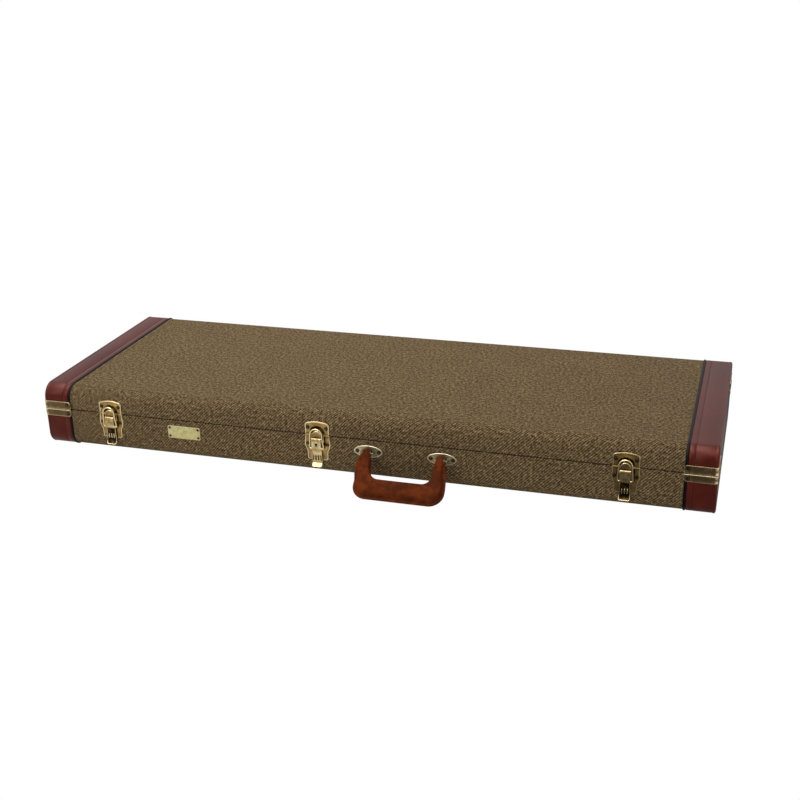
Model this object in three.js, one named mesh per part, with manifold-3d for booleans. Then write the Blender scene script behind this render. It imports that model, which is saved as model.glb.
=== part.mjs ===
// A hard case for an electric guitar: a rectangular plywood box in tweed cloth with leather ends,
// a hinged lid, three draw latches, a drop handle and a plush lining with an accessory compartment.
// Millimetres. +X runs along the case to the body end, -Y is the latch side, +Z is up.
// The case lies on its back and the origin is under the middle of it.

import * as THREE from 'three';
import { mergeVertices } from 'three/addons/utils/BufferGeometryUtils.js';
import Module from 'manifold-3d';

const wasm = await Module();
wasm.setup();

// Case: outside sizes over the cloth, and the layers of its wall
const caseLength = 1080;
const caseWidth = 386;
const caseHeight = 103.9;
const seamHeight = 66.2;
const seamGap = 0.3;
const longEdgeRadius = 22;
const endEdgeRadius = 4;
const capReach = 45;
const leatherProud = 1.3;
const clothThickness = 0.8;
const wallThickness = 6;
const fit = 0.3;

// Piping between cloth and leather
const pipingWidth = 4.4;
const pipingRadius = 2;
const pipingProud = 1.9;

// Lining: foam under plush, cut out for the instrument
const foamFloor = 8;
const liningBelowRim = 1.5;
const lowerBout = { fromEnd: 214, foamBeside: 19.6 };
const upperBout = { fromEnd: 344, foamBeside: 43.6 };
const neckChannel = { width: 84, fromEnd: 180, depth: 32 };
const headRecess = { fromEnd: 28, length: 167, width: 150, depth: 42 };
const lidRecess = { endMargin: 26, sideMargin: 24, depth: 18, cornerRadius: 40 };
const cradle = { fromEnd: 222, length: 46, notchRadius: 27, notchRise: 4, belowLining: 3 };
const compartment = {
  fromEnd: 300,
  foamBeforeBout: 72,
  foamBesideNeck: 16,
  wall: 3,
  lidThickness: 3.8,
  tabWidth: 20,
  tabLength: 26,
  tabOverhang: 9,
  tabThickness: 1.2,
};

// Butt hinges on the back
const hinge = {
  fromEnd: 140,
  width: 60,
  leafHeight: 25,
  leafThickness: 1.2,
  knuckleRadius: 3.6,
  knuckleShare: 0.36,
  pinRadius: 1.5,
  pinHeadRadius: 2.6,
  pinHeadThickness: 1.2,
};
const hingeAxisOut = hinge.knuckleRadius + fit;

// Draw latches: all heights are above the underside of the case, all outs from the cloth's face
const latchPlace = { leftFromEnd: 120, center: -62.7, rightFromEnd: 129.5 };
const latchSheet = 1.2;
const latchBase = {
  bottom: 25.9,
  footHalfWidth: 16.8,
  footTop: 39,
  bulgeHalfWidth: 21,
  bulgeBottom: 48.5,
  bulgeTop: 54.5,
  neckHalfWidth: 17.6,
  cornerCut: 2.2,
  windowBottom: 57.5,
  windowTop: 65.6,
};
const catchPlate = { halfWidth: 20, shoulder: 85.4, apex: 90.4, cornerRadius: 3 };
const boss = { halfWidth: 8.5, bottom: 65.6, top: 76.7, out: 5.9, edge: 1.4, behind: 1.6 };
const lever = {
  pivotOut: 3.8,
  pivotHeight: 60.8,
  faceOut: 8,
  noseAngle: 0.87,
  halfWidth: 8.8,
  boxBottom: 46.2,
  stripOut: 4.2,
  stripTop: 41.5,
  stripBottom: 27,
  tabOut: 9,
  tabBottom: 17,
  waistHalfWidth: 7.5,
  waistBottom: 30,
  tabHalfWidth: 9.3,
  tabCorner: 2.5,
  cheekHeel: 43.6,
  cheekHeelOut: 5.2,
  cheekBackRadius: 2.2,
  pinRadius: 1.2,
  ribWidth: 1.6,
  ribOut: 5.4,
  ribPlace: 3.4,
  ribTop: 36,
};
const ear = { thickness: 1.2, bottom: 46.5, out: 5.4, radius: 2.7, shoulder: 2.2 };
const bail = {
  wireRadius: 1.2,
  halfWidth: 11.1,
  archTop: 80.5,
  out: 7.4,
  pivotOut: 5.3,
  pivotHeight: 46.5,
  bendRadius: 2.2,
  slantTop: 60,
};
const lock = {
  height: 53.3,
  radius: 3.4,
  back: 4.2,
  camThickness: 1.2,
  camHalfWidth: 1.5,
  camReach: 7,
  keyRadius: 1.1,
  keySlotWidth: 1.1,
  keySlotLength: 3.6,
  keyDepth: 2.4,
};

// Name plate, left bare
const namePlate = { fromEnd: 249, z: 46.9, width: 56, height: 21, thickness: 0.9, cornerRadius: 1.6 };

// Drop handle
const handle = {
  x: 78,
  plateSpacing: 116.8,
  plateHeight: 48.5,
  plateLength: 46,
  plateWidth: 19.5,
  plateThickness: 1.4,
  pivotOut: 8.2,
  stapleRadius: 1.8,
  stapleHalfWidth: 9.9,
};
const grip = {
  legHalfWidth: 7.8,
  noseRadius: 5.8,
  outerHalfWidth: 71.6,
  outerEdge: 78,
  innerEdge: 38,
  innerHalfWidth: 45.6,
  outerCorner: 30,
  innerCorner: 10,
  halfThickness: 9,
  edgeRound: 6.5,
  swellStart: 10,
  swellEnd: 32,
};
const eye = { radius: 3.8, halfWidth: 7.5, tongueThickness: 2.4, tongueHalfWidth: 4.5, tongueLength: 26 };

// Corner clips of sheet brass over the leather, one above and one below the seam
const clip = {
  innerOut: 2.2,
  thickness: 1,
  sideReach: 48.9,
  bendRadius: 4.6,
  endReach: 48,
  upperHeight: 11.4,
  lowerHeight: 11,
  seamSetback: 0.65,
  earRadius: 6,
  earInset: 7.2,
  beadHeight: 1.5,
  beadProud: 0.5,
  rivetRadius: 2,
  rivetProud: 0.5,
};

// How finely round shapes are cut, and how far a cutter overruns what it cuts
const roundSteps = 3;
const rodSides = 12;
const wireSides = 6;
const boutSides = 40;
const archSteps = 6;
const bailSteps = 32;
const overrun = 30;

// Places that follow from the sizes
const halfLength = caseLength / 2;
const frontFace = -caseWidth / 2;
const backFace = caseWidth / 2;
const clothBottom = leatherProud;
const clothTop = clothBottom + caseHeight;
const seamZ = clothBottom + seamHeight;
const baseRim = seamZ - seamGap / 2;
const lidRim = seamZ + seamGap / 2;
const leatherThickness = leatherProud + clothThickness;
const plyInset = clothThickness + fit;
const plyEnd = leatherThickness + fit;
const cavityInset = plyInset + wallThickness;
const cavityEnd = plyEnd + wallThickness;
const liningInset = cavityInset + fit;
const liningEnd = cavityEnd + fit;
const liningTop = baseRim - liningBelowRim;
const lidLiningBottom = lidRim + liningBelowRim;
const pipingX = halfLength - capReach;
const coverHalfLength = pipingX - pipingWidth / 2 - fit;
const capStart = pipingX + pipingWidth / 2 + fit;
const leverPivot = { y: frontFace - lever.pivotOut, z: lever.pivotHeight };
const bailPivot = { y: frontFace - bail.pivotOut, z: bail.pivotHeight };
const earOuter = lever.halfWidth - latchSheet - fit;
const hingeAxis = { y: backFace + hingeAxisOut, z: seamZ };
const hingeReach = halfLength - hinge.fromEnd;
const hingePlaces = { left: -hingeReach, center: 0, right: hingeReach };
const latchPlaces = {
  left: latchPlace.leftFromEnd - halfLength,
  center: latchPlace.center,
  right: halfLength - latchPlace.rightFromEnd,
};
const namePlateX = namePlate.fromEnd - halfLength;
const clipStart = halfLength + clip.innerOut - leatherProud - clip.sideReach;
const gripBarLength = grip.outerEdge - grip.halfThickness;
const droopAngle = Math.asin((handle.plateHeight - grip.halfThickness - fit) / gripBarLength);
const handlePivot = { y: frontFace - handle.pivotOut, z: handle.plateHeight };

// Materials
function finish(color, roughness, metalness) {
  return new THREE.MeshStandardMaterial({ color, roughness, metalness });
}

const plywood = () => finish(0xb58a5a, 0.8, 0);
const tweed = () => finish(0x6b5638, 0.95, 0);
const capLeather = () => finish(0x4d1c14, 0.42, 0);
const gripLeather = () => finish(0x6e2c10, 0.7, 0);
const pipingVinyl = () => finish(0x0d0e12, 0.3, 0);
const plush = () => finish(0x9a6a3c, 0.95, 0);
const antiqueBrass = () => finish(0x9c8250, 0.38, 0.9);
const paleBrass = () => finish(0xc9bb8c, 0.32, 0.9);
const darkBrass = () => finish(0x4f4230, 0.4, 0.9);
const steel = () => finish(0x8f8f8c, 0.35, 0.9);

// From a geometry to a solid that can be cut, and back
function solidOf(geometry) {
  const bare = geometry.clone();
  bare.deleteAttribute('normal');
  bare.deleteAttribute('uv');
  const merged = mergeVertices(bare);
  const vertProperties = new Float32Array(merged.attributes.position.array);
  const triVerts = new Uint32Array(merged.index.array);
  return new wasm.Manifold(new wasm.Mesh({ numProp: 3, vertProperties, triVerts }));
}

function geometryOf(solid) {
  const mesh = solid.getMesh();
  const geometry = new THREE.BufferGeometry();
  geometry.setAttribute('position', new THREE.BufferAttribute(mesh.vertProperties, mesh.numProp));
  geometry.setIndex(new THREE.BufferAttribute(mesh.triVerts, 1));
  const faceted = geometry.toNonIndexed();
  faceted.computeVertexNormals();
  return faceted;
}

function piece(name, solid, material) {
  const mesh = new THREE.Mesh(geometryOf(solid), material);
  mesh.name = name;
  return mesh;
}

// Basic solids
function box(x0, x1, y0, y1, z0, z1) {
  const geometry = new THREE.BoxGeometry(x1 - x0, y1 - y0, z1 - z0);
  geometry.translate((x0 + x1) / 2, (y0 + y1) / 2, (z0 + z1) / 2);
  return solidOf(geometry);
}

function rod(radius, start, end, sides = rodSides) {
  const run = end.clone().sub(start);
  const geometry = new THREE.CylinderGeometry(radius, radius, run.length(), sides);
  const turn = new THREE.Quaternion().setFromUnitVectors(new THREE.Vector3(0, 1, 0), run.clone().normalize());
  geometry.applyQuaternion(turn);
  const middle = start.clone().add(end).multiplyScalar(0.5);
  geometry.translate(middle.x, middle.y, middle.z);
  return solidOf(geometry);
}

function rodAlongX(radius, x0, x1, y, z, sides) {
  return rod(radius, new THREE.Vector3(x0, y, z), new THREE.Vector3(x1, y, z), sides);
}

function rodAlongY(radius, x, y0, y1, z, sides) {
  return rod(radius, new THREE.Vector3(x, y0, z), new THREE.Vector3(x, y1, z), sides);
}

function rodAlongZ(radius, x, y, z0, z1, sides) {
  return rod(radius, new THREE.Vector3(x, y, z0), new THREE.Vector3(x, y, z1), sides);
}

// An outline with thickness; round takes the edges of both faces off, inside the outline and the thickness
function thickened(shape, thickness, round) {
  return new THREE.ExtrudeGeometry(shape, {
    depth: thickness - 2 * round,
    curveSegments: roundSteps,
    bevelEnabled: round > 0,
    bevelThickness: round,
    bevelSize: round,
    bevelOffset: -round,
    bevelSegments: roundSteps,
  });
}

// An outline drawn in Y and Z, run along X
function alongX(shape, x0, x1, round = 0) {
  const geometry = thickened(shape, x1 - x0, round);
  const [xAxis, yAxis, zAxis] = [0, 1, 2].map((axis) => new THREE.Vector3().setComponent(axis, 1));
  geometry.applyMatrix4(new THREE.Matrix4().makeBasis(yAxis, zAxis, xAxis));
  geometry.translate(x0 + round, 0, 0);
  return solidOf(geometry);
}

// An outline drawn in X and Z on the front face, from one out to another
function onFront(shape, out0, out1, round = 0) {
  const geometry = thickened(shape, out1 - out0, round);
  geometry.rotateX(Math.PI / 2);
  geometry.translate(0, frontFace - out0 - round, 0);
  return solidOf(geometry);
}

// An outline drawn in X and Y, raised along Z
function raised(shape, z0, z1) {
  const geometry = thickened(shape, z1 - z0, 0);
  geometry.translate(0, 0, z0);
  return solidOf(geometry);
}

function roundedRectangle(x0, x1, y0, y1, radius) {
  const shape = new THREE.Shape();
  shape.moveTo(x0 + radius, y0);
  shape.absarc(x1 - radius, y0 + radius, radius, -Math.PI / 2, 0);
  shape.absarc(x1 - radius, y1 - radius, radius, 0, Math.PI / 2);
  shape.absarc(x0 + radius, y1 - radius, radius, Math.PI / 2, Math.PI);
  shape.absarc(x0 + radius, y0 + radius, radius, Math.PI, 1.5 * Math.PI);
  return shape;
}

// The closed case's block, drawn in from the cloth's face by an inset and from the ends by another
function caseBlock(inset, endInset) {
  const halfWidth = caseWidth / 2 - inset;
  const section = roundedRectangle(
    -halfWidth, halfWidth, clothBottom + inset, clothTop - inset, longEdgeRadius - inset,
  );
  const reach = halfLength - endInset;
  return alongX(section, -reach, reach, Math.max(endEdgeRadius - endInset, fit));
}

function slab(x0, x1, z0, z1) {
  return box(x0, x1, frontFace - overrun, backFace + overrun, z0, z1);
}

// Each half of the case: its own height, that of its wood, and that of the cloth turned in over its rim
const belowSeam = {
  bottom: -overrun,
  top: baseRim,
  wood: [-overrun, baseRim - plyInset],
  fold: [baseRim - clothThickness, baseRim],
};
const aboveSeam = {
  bottom: lidRim,
  top: clothTop + overrun,
  wood: [lidRim + plyInset, clothTop + overrun],
  fold: [lidRim, lidRim + clothThickness],
};

// Wooden shell, cloth, leather ends and piping, each for one half of the case
function shell(half) {
  const hull = caseBlock(plyInset, plyEnd).subtract(caseBlock(cavityInset, cavityEnd));
  return hull.intersect(slab(-caseLength, caseLength, ...half.wood));
}

function rimFold(half, inset, endInset, x0, x1) {
  const ring = caseBlock(inset, endInset).subtract(caseBlock(cavityInset, cavityEnd));
  return ring.intersect(slab(x0, x1, ...half.fold));
}

function cover(half) {
  const sleeve = caseBlock(0, 0).subtract(caseBlock(clothThickness, 0));
  const reach = capStart - fit;
  return sleeve
    .intersect(slab(-coverHalfLength, coverHalfLength, half.bottom, half.top))
    .add(rimFold(half, clothThickness / 2, 0, -coverHalfLength, coverHalfLength))
    .add(rimFold(half, plyInset, 0, -reach, reach));
}

function cap(half, side) {
  const skin = caseBlock(-leatherProud, 0).subtract(caseBlock(clothThickness, leatherThickness));
  const [x0, x1] = [side * capStart, side * caseLength].sort((a, b) => a - b);
  return skin
    .intersect(slab(x0, x1, half.bottom, half.top))
    .add(rimFold(half, clothThickness / 2, leatherThickness / 2, x0, x1));
}

function piping(half, side) {
  const halfWidth = caseWidth / 2 + pipingProud;
  const section = roundedRectangle(
    -halfWidth, halfWidth, clothBottom - pipingProud, clothTop + pipingProud, longEdgeRadius + pipingProud,
  );
  const middle = side * pipingX;
  const bead = alongX(section, middle - pipingWidth / 2, middle + pipingWidth / 2, pipingRadius);
  const aboveFloor = slab(-caseLength, caseLength, Math.max(half.bottom, fit), half.top);
  return bead.subtract(caseBlock(clothThickness, 0)).intersect(aboveFloor);
}

// Foam and plush lining of the base, cut out for body, neck, head and compartment
const foamTop = clothBottom + liningInset + foamFloor;
const channelFloor = liningTop - neckChannel.depth;
const liningHalfWidth = caseWidth / 2 - liningInset;
const upperBoutX = halfLength - upperBout.fromEnd;
const wellStart = compartment.fromEnd - halfLength;
const wellEnd = upperBoutX - (liningHalfWidth - upperBout.foamBeside) - compartment.foamBeforeBout;
const wellNear = neckChannel.width / 2 + compartment.foamBesideNeck;
const wellFar = liningHalfWidth - lowerBout.foamBeside;

function bout(place) {
  const radius = liningHalfWidth - place.foamBeside;
  return rodAlongZ(radius, halfLength - place.fromEnd, 0, foamTop, liningTop + overrun, boutSides);
}

function baseLining() {
  const foam = caseBlock(liningInset, liningEnd)
    .intersect(slab(-caseLength, caseLength, -overrun, liningTop));
  const channel = box(
    neckChannel.fromEnd - halfLength, upperBoutX,
    -neckChannel.width / 2, neckChannel.width / 2, channelFloor, liningTop + overrun,
  );
  const headStart = headRecess.fromEnd - halfLength;
  const head = box(
    headStart, headStart + headRecess.length, -headRecess.width / 2, headRecess.width / 2,
    liningTop - headRecess.depth, liningTop + overrun,
  );
  const well = box(wellStart, wellEnd, wellNear, wellFar, foamTop, liningTop + overrun);
  const instrument = bout(lowerBout).add(bout(upperBout)).add(channel).add(head);
  return foam.subtract(instrument).subtract(well);
}

function lidLining() {
  const foam = caseBlock(liningInset, liningEnd)
    .intersect(slab(-caseLength, caseLength, lidLiningBottom, clothTop + overrun));
  const x = halfLength - liningEnd - lidRecess.endMargin;
  const y = liningHalfWidth - lidRecess.sideMargin;
  const outline = roundedRectangle(-x, x, -y, y, lidRecess.cornerRadius);
  return foam.subtract(raised(outline, lidLiningBottom - overrun, lidLiningBottom + lidRecess.depth));
}

function neckCradle() {
  const top = liningTop - cradle.belowLining;
  const halfWidth = neckChannel.width / 2 - fit;
  const start = cradle.fromEnd - halfLength;
  const end = start + cradle.length;
  const block = box(start, end, -halfWidth, halfWidth, channelFloor, top);
  const notch = rodAlongX(cradle.notchRadius, start - overrun, end + overrun, 0, top + cradle.notchRise);
  return block.subtract(notch);
}

// Accessory compartment: an open box in the foam, its lid and the lid's pull tab
const boxStart = wellStart + fit;
const boxEnd = wellEnd - fit;
const boxNear = wellNear + fit;
const boxFar = wellFar - fit;
const boxRim = liningTop - compartment.lidThickness - fit;

function compartmentBox() {
  const { wall } = compartment;
  const block = box(boxStart, boxEnd, boxNear, boxFar, foamTop, boxRim);
  return block.subtract(box(
    boxStart + wall, boxEnd - wall, boxNear + wall, boxFar - wall, foamTop + wall, boxRim + overrun,
  ));
}

function compartmentLid() {
  return box(boxStart, boxEnd, boxNear, boxFar, boxRim + fit, liningTop);
}

function compartmentTab() {
  const middle = (boxStart + boxEnd) / 2;
  const edge = boxNear - compartment.tabOverhang;
  const shape = roundedRectangle(
    middle - compartment.tabWidth / 2, middle + compartment.tabWidth / 2,
    edge, edge + compartment.tabLength, compartment.tabOverhang / 2,
  );
  return raised(shape, liningTop, liningTop + compartment.tabThickness);
}

// Butt hinge: base leaf with two outer knuckles, lid leaf with the middle one, and the pin
function hingeKnuckle(x0, x1, direction) {
  const { y, z } = hingeAxis;
  const barrel = rodAlongX(hinge.knuckleRadius, x0, x1, y, z);
  const root = [fit, hinge.knuckleRadius + fit].map((step) => z + direction * step).sort((a, b) => a - b);
  return barrel.add(box(x0, x1, backFace, backFace + hinge.leafThickness, ...root));
}

function hingeBore() {
  return rodAlongX(hinge.pinRadius + fit, -hinge.width, hinge.width, hingeAxis.y, hingeAxis.z);
}

function hingeLeafPlate(direction) {
  const half = hinge.width / 2;
  const near = hingeAxis.z + direction * (hinge.knuckleRadius + fit);
  const far = near + direction * hinge.leafHeight;
  return box(-half, half, backFace, backFace + hinge.leafThickness, Math.min(near, far), Math.max(near, far));
}

const middleKnuckle = hinge.width * hinge.knuckleShare / 2;

function hingeBaseLeaf() {
  const half = hinge.width / 2;
  const left = hingeKnuckle(-half, -middleKnuckle - fit, -1);
  const right = hingeKnuckle(middleKnuckle + fit, half, -1);
  return hingeLeafPlate(-1).add(left).add(right).subtract(hingeBore());
}

function hingeLidLeaf() {
  return hingeLeafPlate(1).add(hingeKnuckle(-middleKnuckle, middleKnuckle, 1)).subtract(hingeBore());
}

function hingePin() {
  const end = hinge.width / 2 + fit;
  const { y, z } = hingeAxis;
  const shank = rodAlongX(hinge.pinRadius, -end - fit, end + fit, y, z);
  const headAt = (x0) => rodAlongX(hinge.pinHeadRadius, x0, x0 + hinge.pinHeadThickness, y, z);
  return shank.add(headAt(end)).add(headAt(-end - hinge.pinHeadThickness));
}

// Latch plate on the base, with the two ears that carry the lever's pin
function latchPlateOutline() {
  const b = latchBase;
  const right = [
    [b.footHalfWidth - b.cornerCut, b.bottom], [b.footHalfWidth, b.bottom + b.cornerCut],
    [b.footHalfWidth, b.footTop], [b.bulgeHalfWidth, b.bulgeBottom], [b.bulgeHalfWidth, b.bulgeTop],
    [b.neckHalfWidth, baseRim],
  ];
  const left = right.map(([x, z]) => [-x, z]).reverse();
  return new THREE.Shape([...right, ...left].map(([x, z]) => new THREE.Vector2(x, z)));
}

function latchEar(side, hasStrike) {
  const [x0, x1] = [side * (earOuter - ear.thickness), side * earOuter].sort((a, b) => a - b);
  const { y, z } = leverPivot;
  const { windowBottom } = latchBase;
  const root = box(x0, x1, frontFace - ear.out, frontFace - latchSheet / 2, ear.bottom, windowBottom);
  const arm = box(x0, x1, y - ear.shoulder, y + ear.shoulder, windowBottom - latchSheet, z);
  const solid = root.add(arm).add(rodAlongX(ear.radius, x0, x1, y, z));
  if (!hasStrike) return solid;
  const camFront = frontFace - lock.back;
  const slot = box(
    x0 - overrun, x1 + overrun, camFront - fit, camFront + lock.camThickness + fit,
    lock.height - lock.camReach / 2 - lock.camHalfWidth, lock.height + lock.camHalfWidth + fit,
  );
  return solid.subtract(slot);
}

function latchPlate(isLocking) {
  const halfWindow = lever.halfWidth + fit;
  const window = box(
    -halfWindow, halfWindow, frontFace - latchSheet - overrun, frontFace + overrun,
    latchBase.windowBottom, latchBase.windowTop,
  );
  const plate = onFront(latchPlateOutline(), 0, latchSheet).subtract(window);
  const ears = latchEar(-1, false).add(latchEar(1, isLocking));
  const bore = rodAlongX(lever.pinRadius + fit, -overrun, overrun, leverPivot.y, leverPivot.z);
  return plate.add(ears.subtract(bore));
}

function leverPin() {
  return rodAlongX(lever.pinRadius, -lever.halfWidth, lever.halfWidth, leverPivot.y, leverPivot.z);
}

// Catch plate on the lid, with the boss that the bail goes round
function catchOutline() {
  const c = catchPlate;
  const shape = new THREE.Shape();
  shape.moveTo(-latchBase.neckHalfWidth, lidRim);
  shape.lineTo(latchBase.neckHalfWidth, lidRim);
  shape.lineTo(c.halfWidth, c.shoulder - c.cornerRadius);
  shape.quadraticCurveTo(c.halfWidth, c.shoulder, c.halfWidth - c.cornerRadius, c.shoulder);
  shape.quadraticCurveTo(0, 2 * c.apex - c.shoulder, -c.halfWidth + c.cornerRadius, c.shoulder);
  shape.quadraticCurveTo(-c.halfWidth, c.shoulder, -c.halfWidth, c.shoulder - c.cornerRadius);
  return shape;
}

function bossOutline() {
  const shape = new THREE.Shape();
  shape.moveTo(-boss.halfWidth, boss.bottom);
  shape.lineTo(boss.halfWidth, boss.bottom);
  shape.absarc(0, boss.top - boss.halfWidth, boss.halfWidth, 0, Math.PI);
  return shape;
}

function latchCatch() {
  const plate = onFront(catchOutline(), 0, latchSheet);
  const hook = onFront(bossOutline(), -boss.out, boss.out, boss.edge);
  const behind = (out, z0, z1) => box(-boss.top, boss.top, frontFace - out, frontFace + overrun, z0, z1);
  const underLid = behind(boss.behind, boss.bottom - overrun, lidRim);
  const underPlate = behind(latchSheet / 2, lidRim, boss.top + overrun);
  return plate.add(hook.subtract(underLid).subtract(underPlate));
}

// A strip of sheet in side view: its face line, and the same line set back by the sheet's thickness
function stripOutline(face, thickness) {
  const back = face.map((point, i) => {
    const before = face[Math.max(i - 1, 0)];
    const after = face[Math.min(i + 1, face.length - 1)];
    const run = after.clone().sub(before).normalize();
    return new THREE.Vector2(point.x + run.y * -thickness, point.y + run.x * thickness);
  });
  return new THREE.Shape([...face, ...back.reverse()]);
}

function sidePoint(out, z) {
  return new THREE.Vector2(frontFace - out, z);
}

function leverFace() {
  const radius = lever.faceOut - lever.pivotOut;
  const points = [];
  for (let i = 0; i <= roundSteps; i += 1) {
    const angle = lever.noseAngle * (1 - i / roundSteps);
    const out = lever.pivotOut + radius * Math.cos(angle);
    points.push(sidePoint(out, lever.pivotHeight + radius * Math.sin(angle)));
  }
  points.push(sidePoint(lever.faceOut, lever.boxBottom));
  points.push(sidePoint(lever.stripOut, lever.stripTop));
  const curl = new THREE.QuadraticBezierCurve(
    sidePoint(lever.stripOut, lever.stripBottom),
    sidePoint(lever.stripOut, (lever.stripBottom + lever.tabBottom) / 2),
    sidePoint(lever.tabOut, lever.tabBottom),
  );
  return points.concat(curl.getPoints(roundSteps));
}

function leverCheek(side) {
  const radius = lever.faceOut - lever.pivotOut;
  const nose = lever.noseAngle;
  const noseTop = sidePoint(
    lever.pivotOut + radius * Math.cos(nose), lever.pivotHeight + radius * Math.sin(nose),
  );
  const shape = new THREE.Shape([
    sidePoint(lever.faceOut, lever.boxBottom),
    sidePoint(lever.cheekHeelOut, lever.cheekHeel),
    sidePoint(lever.pivotOut - lever.cheekBackRadius, lever.cheekHeel),
    sidePoint(lever.pivotOut - lever.cheekBackRadius, lever.pivotHeight),
    sidePoint(lever.pivotOut, lever.pivotHeight + lever.cheekBackRadius),
    noseTop,
    sidePoint(lever.pivotOut + radius * Math.cos(nose / 2), lever.pivotHeight + radius * Math.sin(nose / 2)),
    sidePoint(lever.faceOut, lever.pivotHeight),
  ]);
  const [x0, x1] = [side * (lever.halfWidth - latchSheet), side * lever.halfWidth].sort((a, b) => a - b);
  return alongX(shape, x0, x1);
}

function leverRib(x) {
  const half = lever.ribWidth / 2;
  const inner = frontFace - lever.stripOut + latchSheet / 2;
  return box(x - half, x + half, frontFace - lever.ribOut, inner, lever.stripBottom, lever.ribTop);
}

function leverFrontOutline() {
  const right = [
    [lever.halfWidth, lever.pivotHeight + lever.faceOut], [lever.halfWidth, lever.stripTop],
    [lever.waistHalfWidth, lever.ribTop], [lever.waistHalfWidth, lever.waistBottom],
    [lever.tabHalfWidth, (lever.waistBottom + lever.tabBottom) / 2],
    [lever.tabHalfWidth, lever.tabBottom + lever.tabCorner],
    [lever.tabHalfWidth - lever.tabCorner, lever.tabBottom - latchSheet],
  ];
  const left = right.map(([x, z]) => [-x, z]).reverse();
  return new THREE.Shape([...right, ...left].map(([x, z]) => new THREE.Vector2(x, z)));
}

function latchLever(isLocking) {
  const sheet = alongX(stripOutline(leverFace(), latchSheet), -lever.tabHalfWidth, lever.tabHalfWidth);
  const strip = sheet.intersect(onFront(leverFrontOutline(), 0, lever.faceOut + lever.tabOut));
  const cheeks = leverCheek(-1).add(leverCheek(1));
  const ribs = leverRib(-lever.ribPlace).add(leverRib(lever.ribPlace));
  const pinBore = rodAlongX(lever.pinRadius + fit, -overrun, overrun, leverPivot.y, leverPivot.z);
  const bailBore = rodAlongX(bail.wireRadius + fit, -overrun, overrun, bailPivot.y, bailPivot.z);
  const solid = strip.add(cheeks).add(ribs).subtract(pinBore).subtract(bailBore);
  if (!isLocking) return solid;
  const lockFront = frontFace - overrun;
  return solid.subtract(rodAlongY(lock.radius + fit, 0, lockFront, frontFace - lever.stripOut, lock.height));
}

// Bail: a loop of wire pinned in the lever's cheeks, that goes up and round the boss
function bailPath() {
  const archCentre = bail.archTop - bail.halfWidth;
  const point = (x, out, z) => new THREE.Vector3(x, frontFace - out, z);
  const stub = lever.halfWidth - latchSheet / 2;
  const leg = [
    point(-stub, bail.pivotOut, bail.pivotHeight),
    point(-bail.halfWidth + bail.bendRadius, bail.pivotOut, bail.pivotHeight),
    point(-bail.halfWidth, bail.pivotOut, bail.pivotHeight + bail.bendRadius),
    point(-bail.halfWidth, bail.out, bail.slantTop),
  ];
  const arch = [];
  for (let i = 0; i <= archSteps; i += 1) {
    const angle = Math.PI * (1 - i / archSteps);
    const z = archCentre + bail.halfWidth * Math.sin(angle);
    arch.push(point(bail.halfWidth * Math.cos(angle), bail.out, z));
  }
  const otherLeg = leg.map((p) => new THREE.Vector3(-p.x, p.y, p.z)).reverse();
  return new THREE.CatmullRomCurve3([...leg, ...arch, ...otherLeg]);
}

function latchBail() {
  const section = new THREE.Shape().absarc(0, 0, bail.wireRadius, 0, 2 * Math.PI);
  const settings = { extrudePath: bailPath(), steps: bailSteps, curveSegments: wireSides / 2, bevelEnabled: false };
  return solidOf(new THREE.ExtrudeGeometry(section, settings));
}

// Key plug of the middle latch, with the cam that enters the ear's slot
function lockPlug() {
  const back = frontFace - lock.back;
  const face = frontFace - lever.faceOut;
  const barrel = rodAlongY(lock.radius, 0, face, back + lock.camThickness / 2, lock.height);
  const cam = box(
    -lock.camHalfWidth, lock.camHalfWidth, back, back + lock.camThickness,
    lock.height - lock.camReach, lock.height,
  );
  const hole = rodAlongY(lock.keyRadius, 0, face - overrun, face + lock.keyDepth, lock.height);
  const slot = box(
    -lock.keySlotWidth / 2, lock.keySlotWidth / 2, face - overrun, face + lock.keyDepth,
    lock.height - lock.keySlotLength, lock.height,
  );
  return barrel.add(cam).subtract(hole.add(slot).intersect(rodAlongY(
    lock.radius - fit, 0, face - overrun, face + lock.keyDepth, lock.height,
  )));
}

// Name plate
function namePlateSolid() {
  const p = namePlate;
  const shape = roundedRectangle(
    namePlateX - p.width / 2, namePlateX + p.width / 2, p.z - p.height / 2, p.z + p.height / 2, p.cornerRadius,
  );
  return onFront(shape, 0, p.thickness);
}

// Handle plate: an oval with a staple across its middle, along X
function ovalOutline(length, width, z) {
  const shape = new THREE.Shape();
  shape.moveTo(length / 2, z);
  for (let quarter = 0; quarter < 4; quarter += 1) {
    const from = quarter * Math.PI / 2;
    shape.absellipse(0, z, length / 2, width / 2, from, from + Math.PI / 2);
  }
  return shape;
}

function handlePlate() {
  const { y, z } = handlePivot;
  const half = handle.stapleHalfWidth;
  const plate = onFront(ovalOutline(handle.plateLength, handle.plateWidth, z), 0, handle.plateThickness);
  const foot = (x) => rodAlongY(handle.stapleRadius, x, y, frontFace - handle.plateThickness / 2, z);
  const bar = rodAlongX(handle.stapleRadius, -half, half, y, z);
  const knee = (x) => solidOf(
    new THREE.SphereGeometry(handle.stapleRadius, rodSides, rodSides / 2).rotateX(Math.PI / 2).translate(x, y, z),
  );
  return plate.add(foot(-half)).add(foot(half)).add(bar).add(knee(-half)).add(knee(half));
}

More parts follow.
